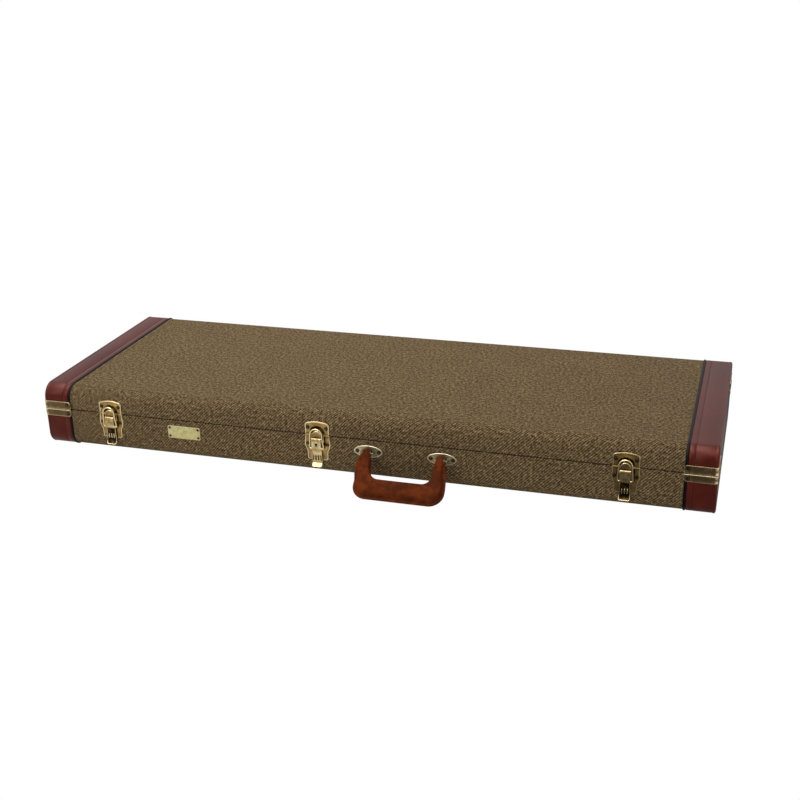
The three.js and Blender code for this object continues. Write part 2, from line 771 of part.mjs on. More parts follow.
// Handle, drawn straight out from its pivot: x along the case, z away from the pivot, y its thickness
function gripFrontOutline() {
  const g = grip;
  const centre = handle.plateSpacing / 2;
  const shape = new THREE.Shape();
  shape.moveTo(-centre - g.legHalfWidth, -g.noseRadius);
  shape.lineTo(-centre + g.legHalfWidth, -g.noseRadius);
  shape.lineTo(-centre + g.legHalfWidth, 0);
  shape.lineTo(-g.innerHalfWidth, g.innerEdge - g.innerCorner);
  shape.absarc(-g.innerHalfWidth + g.innerCorner, g.innerEdge - g.innerCorner, g.innerCorner, Math.PI, Math.PI / 2, true);
  shape.absarc(g.innerHalfWidth - g.innerCorner, g.innerEdge - g.innerCorner, g.innerCorner, Math.PI / 2, 0, true);
  shape.lineTo(centre - g.legHalfWidth, 0);
  shape.lineTo(centre - g.legHalfWidth, -g.noseRadius);
  shape.lineTo(centre + g.legHalfWidth, -g.noseRadius);
  shape.lineTo(centre + g.legHalfWidth, 0);
  shape.quadraticCurveTo(g.outerHalfWidth, g.swellEnd / 2, g.outerHalfWidth, g.swellEnd);
  shape.absarc(g.outerHalfWidth - g.outerCorner, g.outerEdge - g.outerCorner, g.outerCorner, 0, Math.PI / 2);
  shape.absarc(-g.outerHalfWidth + g.outerCorner, g.outerEdge - g.outerCorner, g.outerCorner, Math.PI / 2, Math.PI);
  shape.lineTo(-g.outerHalfWidth, g.swellEnd);
  shape.quadraticCurveTo(-g.outerHalfWidth, g.swellEnd / 2, -centre - g.legHalfWidth, 0);
  return shape;
}

function gripSideOutline() {
  const g = grip;
  const shape = new THREE.Shape();
  shape.moveTo(g.noseRadius, 0);
  shape.lineTo(g.noseRadius, g.swellStart);
  shape.lineTo(g.halfThickness, g.swellEnd);
  shape.absarc(0, gripBarLength, g.halfThickness, 0, Math.PI);
  shape.lineTo(-g.halfThickness, g.swellEnd);
  shape.lineTo(-g.noseRadius, g.swellStart);
  shape.absarc(0, 0, g.noseRadius, Math.PI, 2 * Math.PI);
  return shape;
}

function handleGrip() {
  const g = grip;
  const centre = handle.plateSpacing / 2;
  const front = thickened(gripFrontOutline(), 2 * g.halfThickness, g.edgeRound);
  front.translate(0, 0, g.edgeRound - g.halfThickness);
  front.rotateX(Math.PI / 2);
  let solid = solidOf(front).intersect(alongX(gripSideOutline(), -g.outerHalfWidth, g.outerHalfWidth));
  for (const side of [-1, 1]) {
    const x = side * centre;
    const slotHalf = eye.tongueThickness / 2 + fit;
    const slot = box(
      x - eye.tongueHalfWidth - fit, x + eye.tongueHalfWidth + fit, -slotHalf, slotHalf, 0, eye.tongueLength + fit,
    );
    solid = solid.subtract(slot).subtract(rodAlongX(eye.radius + fit, x - overrun, x + overrun, 0, 0));
  }
  return solid;
}

function handleEye() {
  const barrel = rodAlongX(eye.radius, -eye.halfWidth, eye.halfWidth, 0, 0);
  const half = eye.tongueThickness / 2;
  const tongue = box(-eye.tongueHalfWidth, eye.tongueHalfWidth, -half, half, 0, eye.tongueLength);
  return barrel.add(tongue).subtract(rodAlongX(handle.stapleRadius + fit, -overrun, overrun, 0, 0));
}

// Corner clip: an angle of sheet round a corner of the case, with an ear and a rivet at each end
function clipAngle(z0, z1, innerOut, thickness) {
  const endFace = halfLength + innerOut - leatherProud;
  const sideFace = backFace + innerOut;
  const reach = sideFace - clip.endReach;
  const r = clip.bendRadius;
  const outline = (x0, y0, out, radius) => {
    const shape = new THREE.Shape();
    shape.moveTo(x0, y0);
    shape.lineTo(endFace + out, y0);
    shape.absarc(endFace + out - radius, sideFace + out - radius, radius, 0, Math.PI / 2);
    shape.lineTo(x0, sideFace + out);
    return raised(shape, z0, z1);
  };
  const outer = outline(clipStart, reach, thickness, r + thickness);
  return outer.subtract(outline(clipStart - overrun, reach - overrun, 0, r));
}

function clipEarAndRivet(direction, seamEdge) {
  const z = seamEdge + direction * clip.earInset;
  const side = backFace + clip.innerOut;
  const end = halfLength + clip.innerOut - leatherProud;
  const x = clipStart + clip.earRadius;
  const y = side - clip.endReach + clip.earRadius;
  const along = (radius, proud) => {
    const onSide = rodAlongY(radius, x, side, side + proud, z);
    return onSide.add(rodAlongX(radius, end, end + proud, y, z));
  };
  return along(clip.earRadius, clip.thickness).add(along(clip.rivetRadius, clip.thickness + clip.rivetProud));
}

function cornerClip(isUpper, xSide, ySide) {
  const direction = isUpper ? 1 : -1;
  const height = isUpper ? clip.upperHeight : clip.lowerHeight;
  const seamEdge = seamZ + direction * clip.seamSetback;
  const [z0, z1] = [seamEdge, seamEdge + direction * height].sort((a, b) => a - b);
  let solid = clipAngle(z0, z1, clip.innerOut, clip.thickness).add(clipEarAndRivet(direction, seamEdge));
  if (!isUpper) {
    solid = solid.add(clipAngle(z1 - clip.beadHeight, z1, clip.innerOut, clip.thickness + clip.beadProud));
  }
  const geometry = geometryOf(solid);
  if (xSide * ySide < 0) geometry.scale(1, -1, 1);
  if (xSide < 0) geometry.rotateZ(Math.PI);
  return flipWhereMirrored(geometry, xSide * ySide < 0);
}

// A mirrored geometry has its faces turned in, so each triangle's order is reversed
function flipWhereMirrored(geometry, isMirrored) {
  if (isMirrored) {
    const { array } = geometry.attributes.position;
    for (let i = 0; i < array.length; i += 9) {
      for (let k = 0; k < 3; k += 1) {
        [array[i + 3 + k], array[i + 6 + k]] = [array[i + 6 + k], array[i + 3 + k]];
      }
    }
    geometry.computeVertexNormals();
  }
  return geometry;
}

// The assembly: base, lid, handle, and the moving pieces of the latches and the compartment
function baseGroup() {
  const group = new THREE.Group();
  group.add(piece('base_shell', shell(belowSeam), plywood()));
  group.add(piece('base_cover', cover(belowSeam), tweed()));
  group.add(piece('base_cap_left', cap(belowSeam, -1), capLeather()));
  group.add(piece('base_cap_right', cap(belowSeam, 1), capLeather()));
  group.add(piece('base_piping_left', piping(belowSeam, -1), pipingVinyl()));
  group.add(piece('base_piping_right', piping(belowSeam, 1), pipingVinyl()));
  group.add(piece('base_lining', baseLining(), plush()));
  group.add(piece('neck_cradle', neckCradle(), plush()));
  group.add(piece('compartment_box', compartmentBox(), plush()));
  group.add(piece('name_plate', namePlateSolid(), paleBrass()));
  return group;
}

function lidGroup() {
  const group = new THREE.Group();
  group.add(piece('lid_shell', shell(aboveSeam), plywood()));
  group.add(piece('lid_cover', cover(aboveSeam), tweed()));
  group.add(piece('lid_cap_left', cap(aboveSeam, -1), capLeather()));
  group.add(piece('lid_cap_right', cap(aboveSeam, 1), capLeather()));
  group.add(piece('lid_piping_left', piping(aboveSeam, -1), pipingVinyl()));
  group.add(piece('lid_piping_right', piping(aboveSeam, 1), pipingVinyl()));
  group.add(piece('lid_lining', lidLining(), plush()));
  return group;
}

function hingeGroup() {
  const group = new THREE.Group();
  for (const [side, x] of Object.entries(hingePlaces)) {
    const set = new THREE.Group();
    set.position.x = x;
    set.add(piece(`hinge_base_leaf_${side}`, hingeBaseLeaf(), antiqueBrass()));
    set.add(piece(`hinge_lid_leaf_${side}`, hingeLidLeaf(), antiqueBrass()));
    set.add(piece(`hinge_pin_${side}`, hingePin(), steel()));
    group.add(set);
  }
  return group;
}

function latchGroup() {
  const group = new THREE.Group();
  for (const [side, x] of Object.entries(latchPlaces)) {
    const isLocking = side === 'center';
    const set = new THREE.Group();
    set.position.x = x;
    set.add(piece(`latch_plate_${side}`, latchPlate(isLocking), antiqueBrass()));
    set.add(piece(`latch_pin_${side}`, leverPin(), steel()));
    set.add(piece(`latch_catch_${side}`, latchCatch(), antiqueBrass()));
    set.add(piece(`latch_lever_${side}`, latchLever(isLocking), antiqueBrass()));
    set.add(piece(`latch_bail_${side}`, latchBail(), antiqueBrass()));
    if (isLocking) set.add(piece('lock_plug', lockPlug(), paleBrass()));
    group.add(set);
  }
  return group;
}

function clipGroup() {
  const group = new THREE.Group();
  for (const [depth, ySide] of [['front', -1], ['back', 1]]) {
    for (const [side, xSide] of [['left', -1], ['right', 1]]) {
      for (const isUpper of [false, true]) {
        const mesh = new THREE.Mesh(cornerClip(isUpper, xSide, ySide), darkBrass());
        mesh.name = `clip_${isUpper ? 'lid' : 'base'}_${depth}_${side}`;
        group.add(mesh);
      }
    }
  }
  return group;
}

function handleGroup() {
  const group = new THREE.Group();
  for (const [side, place] of [['left', -1], ['right', 1]]) {
    const plate = piece(`handle_plate_${side}`, handlePlate(), paleBrass());
    plate.position.x = handle.x + place * handle.plateSpacing / 2;
    group.add(plate);
  }
  const swing = new THREE.Group();
  swing.position.set(handle.x, handlePivot.y, handlePivot.z);
  swing.rotation.x = Math.PI / 2 + droopAngle;
  swing.add(piece('handle_grip', handleGrip(), gripLeather()));
  for (const [side, place] of [['left', -1], ['right', 1]]) {
    const steelEye = piece(`handle_eye_${side}`, handleEye(), steel());
    steelEye.position.x = place * handle.plateSpacing / 2;
    swing.add(steelEye);
  }
  group.add(swing);
  return group;
}

function compartmentGroup() {
  const group = new THREE.Group();
  group.add(piece('compartment_lid', compartmentLid(), plush()));
  group.add(piece('compartment_tab', compartmentTab(), capLeather()));
  return group;
}

function guitarCase() {
  const whole = new THREE.Group();
  whole.add(baseGroup(), lidGroup(), hingeGroup(), latchGroup(), clipGroup(), handleGroup(), compartmentGroup());
  const bounds = new THREE.Box3().setFromObject(whole);
  whole.position.y = -(bounds.min.y + bounds.max.y) / 2;
  return whole;
}

export default guitarCase();
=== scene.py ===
import math

import bmesh
import bpy
from mathutils import Matrix, Vector


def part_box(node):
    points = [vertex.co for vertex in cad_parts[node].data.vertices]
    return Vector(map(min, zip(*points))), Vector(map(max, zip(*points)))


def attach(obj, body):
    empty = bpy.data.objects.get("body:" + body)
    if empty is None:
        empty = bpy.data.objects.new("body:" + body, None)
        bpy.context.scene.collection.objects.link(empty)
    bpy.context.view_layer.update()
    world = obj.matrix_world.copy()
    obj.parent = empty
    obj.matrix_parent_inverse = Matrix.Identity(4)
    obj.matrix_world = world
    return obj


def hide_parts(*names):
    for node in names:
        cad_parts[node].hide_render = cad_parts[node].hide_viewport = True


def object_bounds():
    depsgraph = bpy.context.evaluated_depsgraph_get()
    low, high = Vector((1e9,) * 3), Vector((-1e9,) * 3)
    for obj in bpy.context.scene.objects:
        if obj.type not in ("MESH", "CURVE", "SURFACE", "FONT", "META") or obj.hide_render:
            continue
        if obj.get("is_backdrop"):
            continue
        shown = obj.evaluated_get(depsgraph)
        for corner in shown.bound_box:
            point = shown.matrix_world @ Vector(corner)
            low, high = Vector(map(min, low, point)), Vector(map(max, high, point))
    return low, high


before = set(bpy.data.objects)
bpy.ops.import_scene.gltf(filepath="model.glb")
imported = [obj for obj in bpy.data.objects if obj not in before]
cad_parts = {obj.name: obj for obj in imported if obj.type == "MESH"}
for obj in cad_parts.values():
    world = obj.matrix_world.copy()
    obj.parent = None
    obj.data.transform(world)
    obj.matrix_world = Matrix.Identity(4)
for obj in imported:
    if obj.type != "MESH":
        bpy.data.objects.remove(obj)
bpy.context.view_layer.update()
mm = 0.001

# Camera: where the photograph was taken from, to the right of the middle, above the case and turned
# a little to the left. The picture is square and the lens has no shift.
scene = bpy.context.scene
scene.view_settings.view_transform = "Standard"
camera_place = Vector((0.570108, -1.771998, 0.824122))
yaw, pitch, roll = 0.2992, 0.3856, -0.0227
camera_ahead = Vector((-math.sin(yaw) * math.cos(pitch), math.cos(yaw) * math.cos(pitch), -math.sin(pitch)))
level_right = Vector((math.cos(yaw), math.sin(yaw), 0))
level_up = level_right.cross(camera_ahead)
camera_right = math.cos(roll) * level_right + math.sin(roll) * level_up
camera_up = -math.sin(roll) * level_right + math.cos(roll) * level_up
camera = bpy.data.objects.new("camera", bpy.data.cameras.new("camera"))
camera.data.sensor_width = 36
camera.data.lens = 54.925
turn = Matrix((camera_right, camera_up, -camera_ahead)).transposed()
camera.matrix_world = Matrix.Translation(camera_place) @ turn.to_4x4()
scene.collection.objects.link(camera)
scene.camera = camera


# Floor and studio: a white floor that runs out of the picture, a white surround, dimmer low down on
# the side of the room where the camera stands, and two large soft lamps. In reflections only, the
# surround is dimmer high up behind and has a bright patch overhead towards the camera, and the floor
# glows, brighter to the left and far right: painted reflections. Shader values are written as Python
# expressions: a Term stands for one output, and its sums add Math nodes.
class Term:
    """An output of a node tree that can stand in a sum, a product or a comparison."""

    def __init__(self, build, socket):
        self.build, self.socket = build, socket

    def __add__(self, other):
        return self.build.math("ADD", self, other)

    def __radd__(self, other):
        return self.build.math("ADD", other, self)

    def __sub__(self, other):
        return self.build.math("SUBTRACT", self, other)

    def __rsub__(self, other):
        return self.build.math("SUBTRACT", other, self)

    def __mul__(self, other):
        return self.build.math("MULTIPLY", self, other)

    def __rmul__(self, other):
        return self.build.math("MULTIPLY", other, self)

    def __truediv__(self, other):
        return self.build.math("DIVIDE", self, other)

    def __lt__(self, other):
        return self.build.math("LESS_THAN", self, other)


class Nodes:
    """A node tree. node() adds any node: type, sockets, settings. A list for a socket makes several links."""

    def __init__(self, owner):
        owner.use_nodes = True
        self.owner, self.tree = owner, owner.node_tree
        self.tree.nodes.clear()

    def node(self, kind, sockets=None, **settings):
        added = self.tree.nodes.new(kind)
        for name, value in settings.items():
            setattr(added, name, value)
        for name, value in (sockets or {}).items():
            for item in (value if isinstance(value, list) else [value]):
                if isinstance(item, Term):
                    self.tree.links.new(item.socket, added.inputs[name])
                else:
                    added.inputs[name].default_value = item
        return lambda name: Term(self, added.outputs[name])

    def math(self, operation, *terms):
        return self.node("ShaderNodeMath", dict(enumerate(terms)), operation=operation)(0)

    def split(self, vector):
        return self.node("ShaderNodeSeparateXYZ", {"Vector": vector})

    def smooth(self, low, high, term):
        """0 below low, 1 above high, and a smooth step between them."""
        sockets = {"Value": term, "From Min": low, "From Max": high}
        return self.node("ShaderNodeMapRange", sockets, interpolation_type="SMOOTHSTEP")("Result")

    def rays(self):
        """1 where the camera looks straight at this, and 1 where it is seen in metal or through glass."""
        path = self.node("ShaderNodeLightPath")
        return path("Is Camera Ray"), self.math("MAXIMUM", path("Is Glossy Ray"), path("Is Transmission Ray"))

    def close(self, shader, kind="ShaderNodeOutputMaterial"):
        self.node(kind, {"Surface": shader})
        return self.owner


class Finish(Nodes):
    """A new material, with the parts that most of the case's materials are made of."""

    def __init__(self, name):
        super().__init__(bpy.data.materials.new(name))
        self.place = self.node("ShaderNodeTexCoord")("Object")

    def stretched(self, scale, turned=(0, 0, 0), place=None):
        sockets = {"Vector": place or self.place, "Rotation": turned, "Scale": scale}
        return self.node("ShaderNodeMapping", sockets)("Vector")

    def noise(self, scale, detail=2.0, roughness=0.5, distortion=0.0, place=None):
        sockets = {"Vector": place or self.place, "Scale": scale, "Detail": detail, "Roughness": roughness}
        return self.node("ShaderNodeTexNoise", {**sockets, "Distortion": distortion})("Fac")

    def wear(self):
        """What made() finds at each point: over 0.5 on edges, under 0.5 in hollows, with painted shade and
        highlights.
        """
        return self.node("ShaderNodeAttribute", attribute_name="wear")("Fac")

    def colours(self, factor, first, second):
        """Two colours mixed, each a Term or 0 to 255 steps. The factor is socket 0, the colours 6 and 7."""
        first, second = (c if isinstance(c, Term) else linear(*c) for c in (first, second))
        return self.node("ShaderNodeMix", {0: factor, 6: first, 7: second}, data_type="RGBA")(2)

    def ramp(self, factor, *stops):
        """A colour that runs through stops, each a position and a colour in 0 to 255 steps."""
        colour = self.node("ShaderNodeValToRGB", {"Fac": factor})("Color")
        elements = colour.socket.node.color_ramp.elements
        while len(elements) < len(stops):
            elements.new(0.5)
        for element, (position, shade) in zip(elements, stops):
            element.position, element.color = position, linear(*shade)
        return colour

    def surface(self, base, roughness, height, strength, depth, more=None):
        """Closes the material. Its relief is a height, how strongly it shows, and its depth in metres."""
        relief = self.node("ShaderNodeBump", {"Strength": strength, "Distance": depth, "Height": height})
        shader = {"Base Color": base, "Roughness": roughness, "Normal": relief("Normal"), **(more or {})}
        return self.close(self.node("ShaderNodeBsdfPrincipled", shader)(0))


def linear(red, green, blue):
    """A colour given in the picture's 0 to 255 steps, as the linear values that shaders take."""
    steps = [value / 255 for value in (red, green, blue)]
    return (*(s / 12.92 if s <= 0.04045 else ((s + 0.055) / 1.055) ** 2.4 for s in steps), 1)


def rectangle(x0, y0, x1, y1):
    return [(x0, y0), (x1, y0), (x1, y1), (x0, y1)]


scene.world = bpy.data.worlds.new("studio")
sky = Nodes(scene.world)
white, daylight = (1, 1, 1, 1), 0.42
seen, mirrored = sky.rays()
direction = sky.split(sky.node("ShaderNodeTexCoord")("Generated"))
backward = direction("Y") + 0.6 * direction("Z")
room = sky.smooth(-0.75, 0.35, backward) - 0.42 * sky.smooth(0.6, 1.1, backward)
# A bright patch overhead towards the camera, seen only in reflections: a painted highlight.
panel = sky.smooth(0.93, 0.975, 0.93 * direction("Z") - 0.38 * direction("Y"))
seen_in_metal = 0.16 + 0.84 * room + 2.6 * panel
plain = daylight + mirrored * (seen_in_metal - daylight)
surround = plain + seen * (1.0 - plain)
backdrop = sky.node("ShaderNodeBackground", {"Color": white, "Strength": surround})(0)
sky.close(backdrop, "ShaderNodeOutputWorld")

floor_mesh = bpy.data.meshes.new("floor")
reach = 30.0
floor_mesh.from_pydata([(x, y, 0) for x, y in rectangle(-reach, -reach, reach, reach)], [], [(0, 1, 2, 3)])
floor = bpy.data.objects.new("floor", floor_mesh)
scene.collection.objects.link(floor)
floor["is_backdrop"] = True
paper = Finish("white_floor")
seen, mirrored = paper.rays()
spot = paper.split(paper.place)
# Seen only in reflections, the floor glows, brighter to the left and far right: painted reflections.
at_left = 1 - paper.smooth(-0.05, 0.34, spot("X"))
at_right = 0.35 * paper.smooth(0.42, 0.56, spot("X")) + 1.4 * paper.smooth(0.6, 0.75, spot("X"))
to_back = 1 - 0.6 * paper.smooth(0.15, 0.4, spot("Y"))
seen_in_metal = 0.1 + 0.5 * (at_left + at_right) * to_back
lit = paper.node("ShaderNodeBsdfDiffuse", {"Color": (0.9, 0.9, 0.9, 1)})(0)
glow = paper.node("ShaderNodeEmission", {"Color": white, "Strength": 1 - mirrored * (1 - seen_in_metal)})(0)
share = paper.math("MAXIMUM", seen, mirrored)
floor_mesh.materials.append(paper.close(paper.node("ShaderNodeMixShader", {0: share, 1: lit, 2: glow})(0)))


def soft_lamp(name, place, aim, size, power):
    """A square lamp that faces a point."""
    lamp = bpy.data.objects.new(name, bpy.data.lights.new(name, "AREA"))
    lamp.data.shape, lamp.data.size, lamp.data.energy = "SQUARE", size, power
    facing = (Vector(place) - Vector(aim)).to_track_quat("Z", "Y")
    lamp.matrix_world = Matrix.Translation(place) @ facing.to_matrix().to_4x4()
    scene.collection.objects.link(lamp)


soft_lamp("lamp_above", (-0.5, 0.1, 2.1), (0, 0.05, 0.1), 1.6, 30)
soft_lamp("lamp_front", (-1.3, -2.2, 1.5), (0, -0.1, 0.06), 1.4, 16)


# Shells: the base and the lid are open boxes of birch plywood, glued at the corners. The cloth is
# folded over their rims, so they show only inside the folds. The CAD solids are kept as they are.
def wood_finish():
    build = Finish("plywood")
    grain = build.noise(2.0, 6.0, distortion=0.6, place=build.stretched((12, 90, 320)))
    sockets = {"Vector": build.place, "Scale": 160.0, "Distortion": 0.8}
    layers = build.node("ShaderNodeTexWave", sockets, bands_direction="Z")("Fac")
    tone = build.smooth(0.3, 0.75, grain * 0.8 + layers * 0.2)
    base = build.colours(tone, (150, 112, 68), (204, 168, 118))
    return build.surface(base, 0.7 + 0.15 * tone, grain, 0.25, 0.0003)


def dress(node, material):
    """A CAD node that stays gets a full material."""
    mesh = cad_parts[node].data
    mesh.materials.clear()
    mesh.materials.append(material)


plywood = wood_finish()
for node in ("base_shell", "lid_shell"):
    dress(node, plywood)


# Cloth: a heathered 2/2 twill of tan and dark brown wool, glued over each shell in one piece and
# turned in over the rim. The case is a sleeve here: leather covers both of its ends.
sleeve_low, sleeve_high = (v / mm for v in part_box("base_cover"))
lid_sleeve_low, lid_sleeve_high = (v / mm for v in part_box("lid_cover"))
front, back = sleeve_low.y, sleeve_high.y
underside, top_face = sleeve_low.z, lid_sleeve_high.z
base_rim, lid_rim = sleeve_high.z, lid_sleeve_low.z
seam_middle = (base_rim + lid_rim) / 2
halves = (("base", base_rim, -1), ("lid", lid_rim, 1))
edge_radius = 22.0
cloth_thickness = 0.8
rim_fold = 6.6


def tweed_finish():
    build = Finish("tweed")
    flat = build.node("ShaderNodeUVMap", uv_map="cloth")("UV")
    place = build.split(flat)

    def flecks(lengthwise, crosswise, detail=2.0):
        scaled = build.stretched((lengthwise, crosswise, 1), place=flat)
        return build.noise(1.0, detail, 0.6, place=scaled) - 0.5

    thread = 0.00121
    wobble = flecks(70, 70)
    across = (place("X") + 0.0012 * wobble) / thread
    along = (place("Y") + 0.0009 * wobble) / thread
    warp, weft = build.math("FLOOR", across), build.math("FLOOR", along)
    warp_on_top = build.math("FLOORED_MODULO", warp - weft, 4.0) < 2.0
    warp_round = build.math("SINE", build.math("FRACT", across) * math.pi)
    weft_round = build.math("SINE", build.math("FRACT", along) * math.pi)
    height = weft_round + warp_on_top * (warp_round - weft_round)
    yarns = 0.31 * warp_on_top + 0.12 * height
    heather = flecks(640, 500)
    # Darker along the seam between the halves: painted shade of the gap there.
    from_seam = build.math("ABSOLUTE", build.split(build.place)("Z") - seam_middle * mm)
    seam_shade = 1 - build.smooth(0.0004, 0.0012, from_seam)
    spots = 1.3 * heather + 1.28 * flecks(215, 230) + 0.12 * flecks(16, 16, 3.0)
    wools = ((0.0, (34, 25, 13)), (0.3, (81, 64, 41)), (0.58, (130, 108, 75)), (1.0, (186, 162, 122)))
    base = build.ramp(0.125 + yarns + spots - 0.5 * seam_shade, *wools)
    wool = {"Specular IOR Level": 0.15, "Sheen Weight": 0.12, "Sheen Roughness": 0.5}
    wool["Sheen Tint"] = linear(200, 180, 150)
    return build.surface(base, 0.92, height * 0.7 + heather * 0.5, 0.2, 0.0006, wool)


def case_section(out, rim, inward, steps=10):
    """A half case's outline in Y and Z, from its front rim round to its back rim, moved out from the
    cloth. The way from the rim into the half is inward: 1 for the lid and -1 for the base."""
    radius = edge_radius + out
    y0, y1 = front - out, back + out
    centre = top_face + out - radius if inward > 0 else underside - out + radius
    points = [(y0, rim)]
    for side, turn_from in ((y0 + radius, 0), (y1 - radius, 1)):
        for i in range(steps + 1):
            angle = (i / steps + turn_from) * math.pi / 2
            points.append((side - radius * math.cos(angle), centre + radius * inward * math.sin(angle)))
    return [*points, (y1, rim)]


def swept(shape, rings, closed=True, uv=None):
    """Joins rings of points, in mm, with faces. Closed rings make a solid, filled at both ends."""
    layer = shape.loops.layers.uv.new("cloth") if uv else None
    rows = [[shape.verts.new(Vector(p) * mm) for p in ring] for ring in rings]
    count = len(rows[0])
    for r in range(len(rows) - 1):
        for i in range(count if closed else count - 1):
            j = (i + 1) % count
            face = shape.faces.new((rows[r][i], rows[r][j], rows[r + 1][j], rows[r + 1][i]))
            if uv:
                for loop, (a, b) in zip(face.loops, ((r, i), (r, i + 1), (r + 1, i + 1), (r + 1, i))):
                    loop[layer].uv = uv[a][b]
    if closed:
        shape.faces.new(rows[0])
        shape.faces.new(rows[-1])
    return rows


def baked(thing):
    """The object's mesh as its modifiers leave it. The modifiers are taken off."""
    mesh = bpy.data.meshes.new_from_object(thing.evaluated_get(bpy.context.evaluated_depsgraph_get()))
    thing.modifiers.clear()
    return mesh


def made(name, shape, material, body, stands_for, bevel=0.0, smooth=38, stain_and_painted_light=None):
    """The finished piece: edges rounded, wear found from how its surface bends, painted shade and highlights
    added where given, and tied to its body.
    """
    bmesh.ops.recalc_face_normals(shape, faces=shape.faces)
    mesh = bpy.data.meshes.new(name)
    shape.to_mesh(mesh)
    shape.free()
    thing = bpy.data.objects.new(name, mesh)
    scene.collection.objects.link(thing)
    if bevel:
        rounding = thing.modifiers.new("rounding", "BEVEL")
        rounding.width, rounding.segments, rounding.limit_method = bevel * mm, 2, "ANGLE"
        rounding.angle_limit = math.radians(40)
        thing.data = baked(thing)
        bpy.data.meshes.remove(mesh)
        mesh = thing.data
        mesh.name = name
    mesh.shade_smooth()
    mesh.set_sharp_from_angle(angle=math.radians(smooth))
    mesh.materials.clear()
    mesh.materials.append(material)
    bends = [[] for _ in mesh.vertices]
    for a, b in (edge.vertices for edge in mesh.edges):
        for here, there in ((a, b), (b, a)):
            step = mesh.vertices[there].co - mesh.vertices[here].co
            if step.length > 1e-7:
                bends[here].append(step.normalized().dot(mesh.vertices[here].normal))
    worn_and_painted = [0.5 - (sum(b) / len(b) if b else 0) for b in bends]
    if stain_and_painted_light:
        worn_and_painted = [w - stain_and_painted_light(v.co / mm) for w, v in zip(worn_and_painted, mesh.vertices)]
    mesh.attributes.new("wear", "FLOAT", "POINT").data.foreach_set("value", worn_and_painted)
    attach(thing, body)
    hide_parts(*stands_for)
    return thing


tweed = tweed_finish()
sleeve_end = sleeve_high.x
xs = [-sleeve_end, -sleeve_end / 2, 0, sleeve_end / 2, sleeve_end]
roll_over = [(0.1, 0.4), (0.4, 0.1), (0.9, 0)]
roll_height = 0.95
for half, rim, inward in halves:
    front_rim = [(front + rim_fold, rim), *((front + y, rim + inward * z) for y, z in reversed(roll_over))]
    back_rim = [*((back - y, rim + inward * z) for y, z in roll_over), (back - rim_fold, rim)]
    face_line = front_rim + case_section(0, rim + inward * roll_height, inward) + back_rim
    under = rim + inward * cloth_thickness
    inside = case_section(-cloth_thickness, under, inward)
    hidden = [(front + rim_fold, under), *inside, (back - rim_fold, under)]
    ring = face_line + hidden[::-1]
    lengths = [0.0]
    for p, q in zip(ring, ring[1:] + ring[:1]):
        lengths.append(lengths[-1] + math.dist(p, q))
    shape = bmesh.new()
    uv = [[(x * mm, inward * s * mm) for s in lengths] for x in xs]
    swept(shape, [[(x, y, z) for y, z in ring] for x in xs], uv=uv)
    made(f"cloth_{half}", shape, tweed, half, [f"{half}_cover"])


# Leather ends: oxblood leather over each end, sewn along a creased line beside the piping. A raised
# welt goes round the end, where the end panel is sewn to the band.
cap_start, cap_end = (v.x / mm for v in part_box("base_cap_right"))
sides = (("left", -1), ("right", 1))


def cap_finish():
    build = Finish("cap_leather")
    sockets = {"Vector": build.place, "Scale": 620.0}
    pores = build.node("ShaderNodeTexVoronoi", sockets, feature="DISTANCE_TO_EDGE")("Distance")
    folds = build.noise(55.0, 5.0, 0.6)
    cloud = build.noise(9.0, 3.0)
    wear = build.smooth(0.56, 0.8, build.wear() + 0.12 * (folds - 0.5))
    tone = build.smooth(0.3, 0.7, cloud * 0.6 + folds * 0.4)
    base = build.colours(tone, (56, 12, 4), (82, 22, 10))
    base = build.colours(wear * 0.45, base, (108, 42, 26))
    height = build.math("MINIMUM", pores * 8, 1.0) * 0.5 + folds * 0.5
    polish = {"Specular IOR Level": 0.45, "Specular Tint": linear(255, 180, 172)}
    return build.surface(base, 0.27 + 0.14 * folds, height, 0.25, 0.00035, polish)


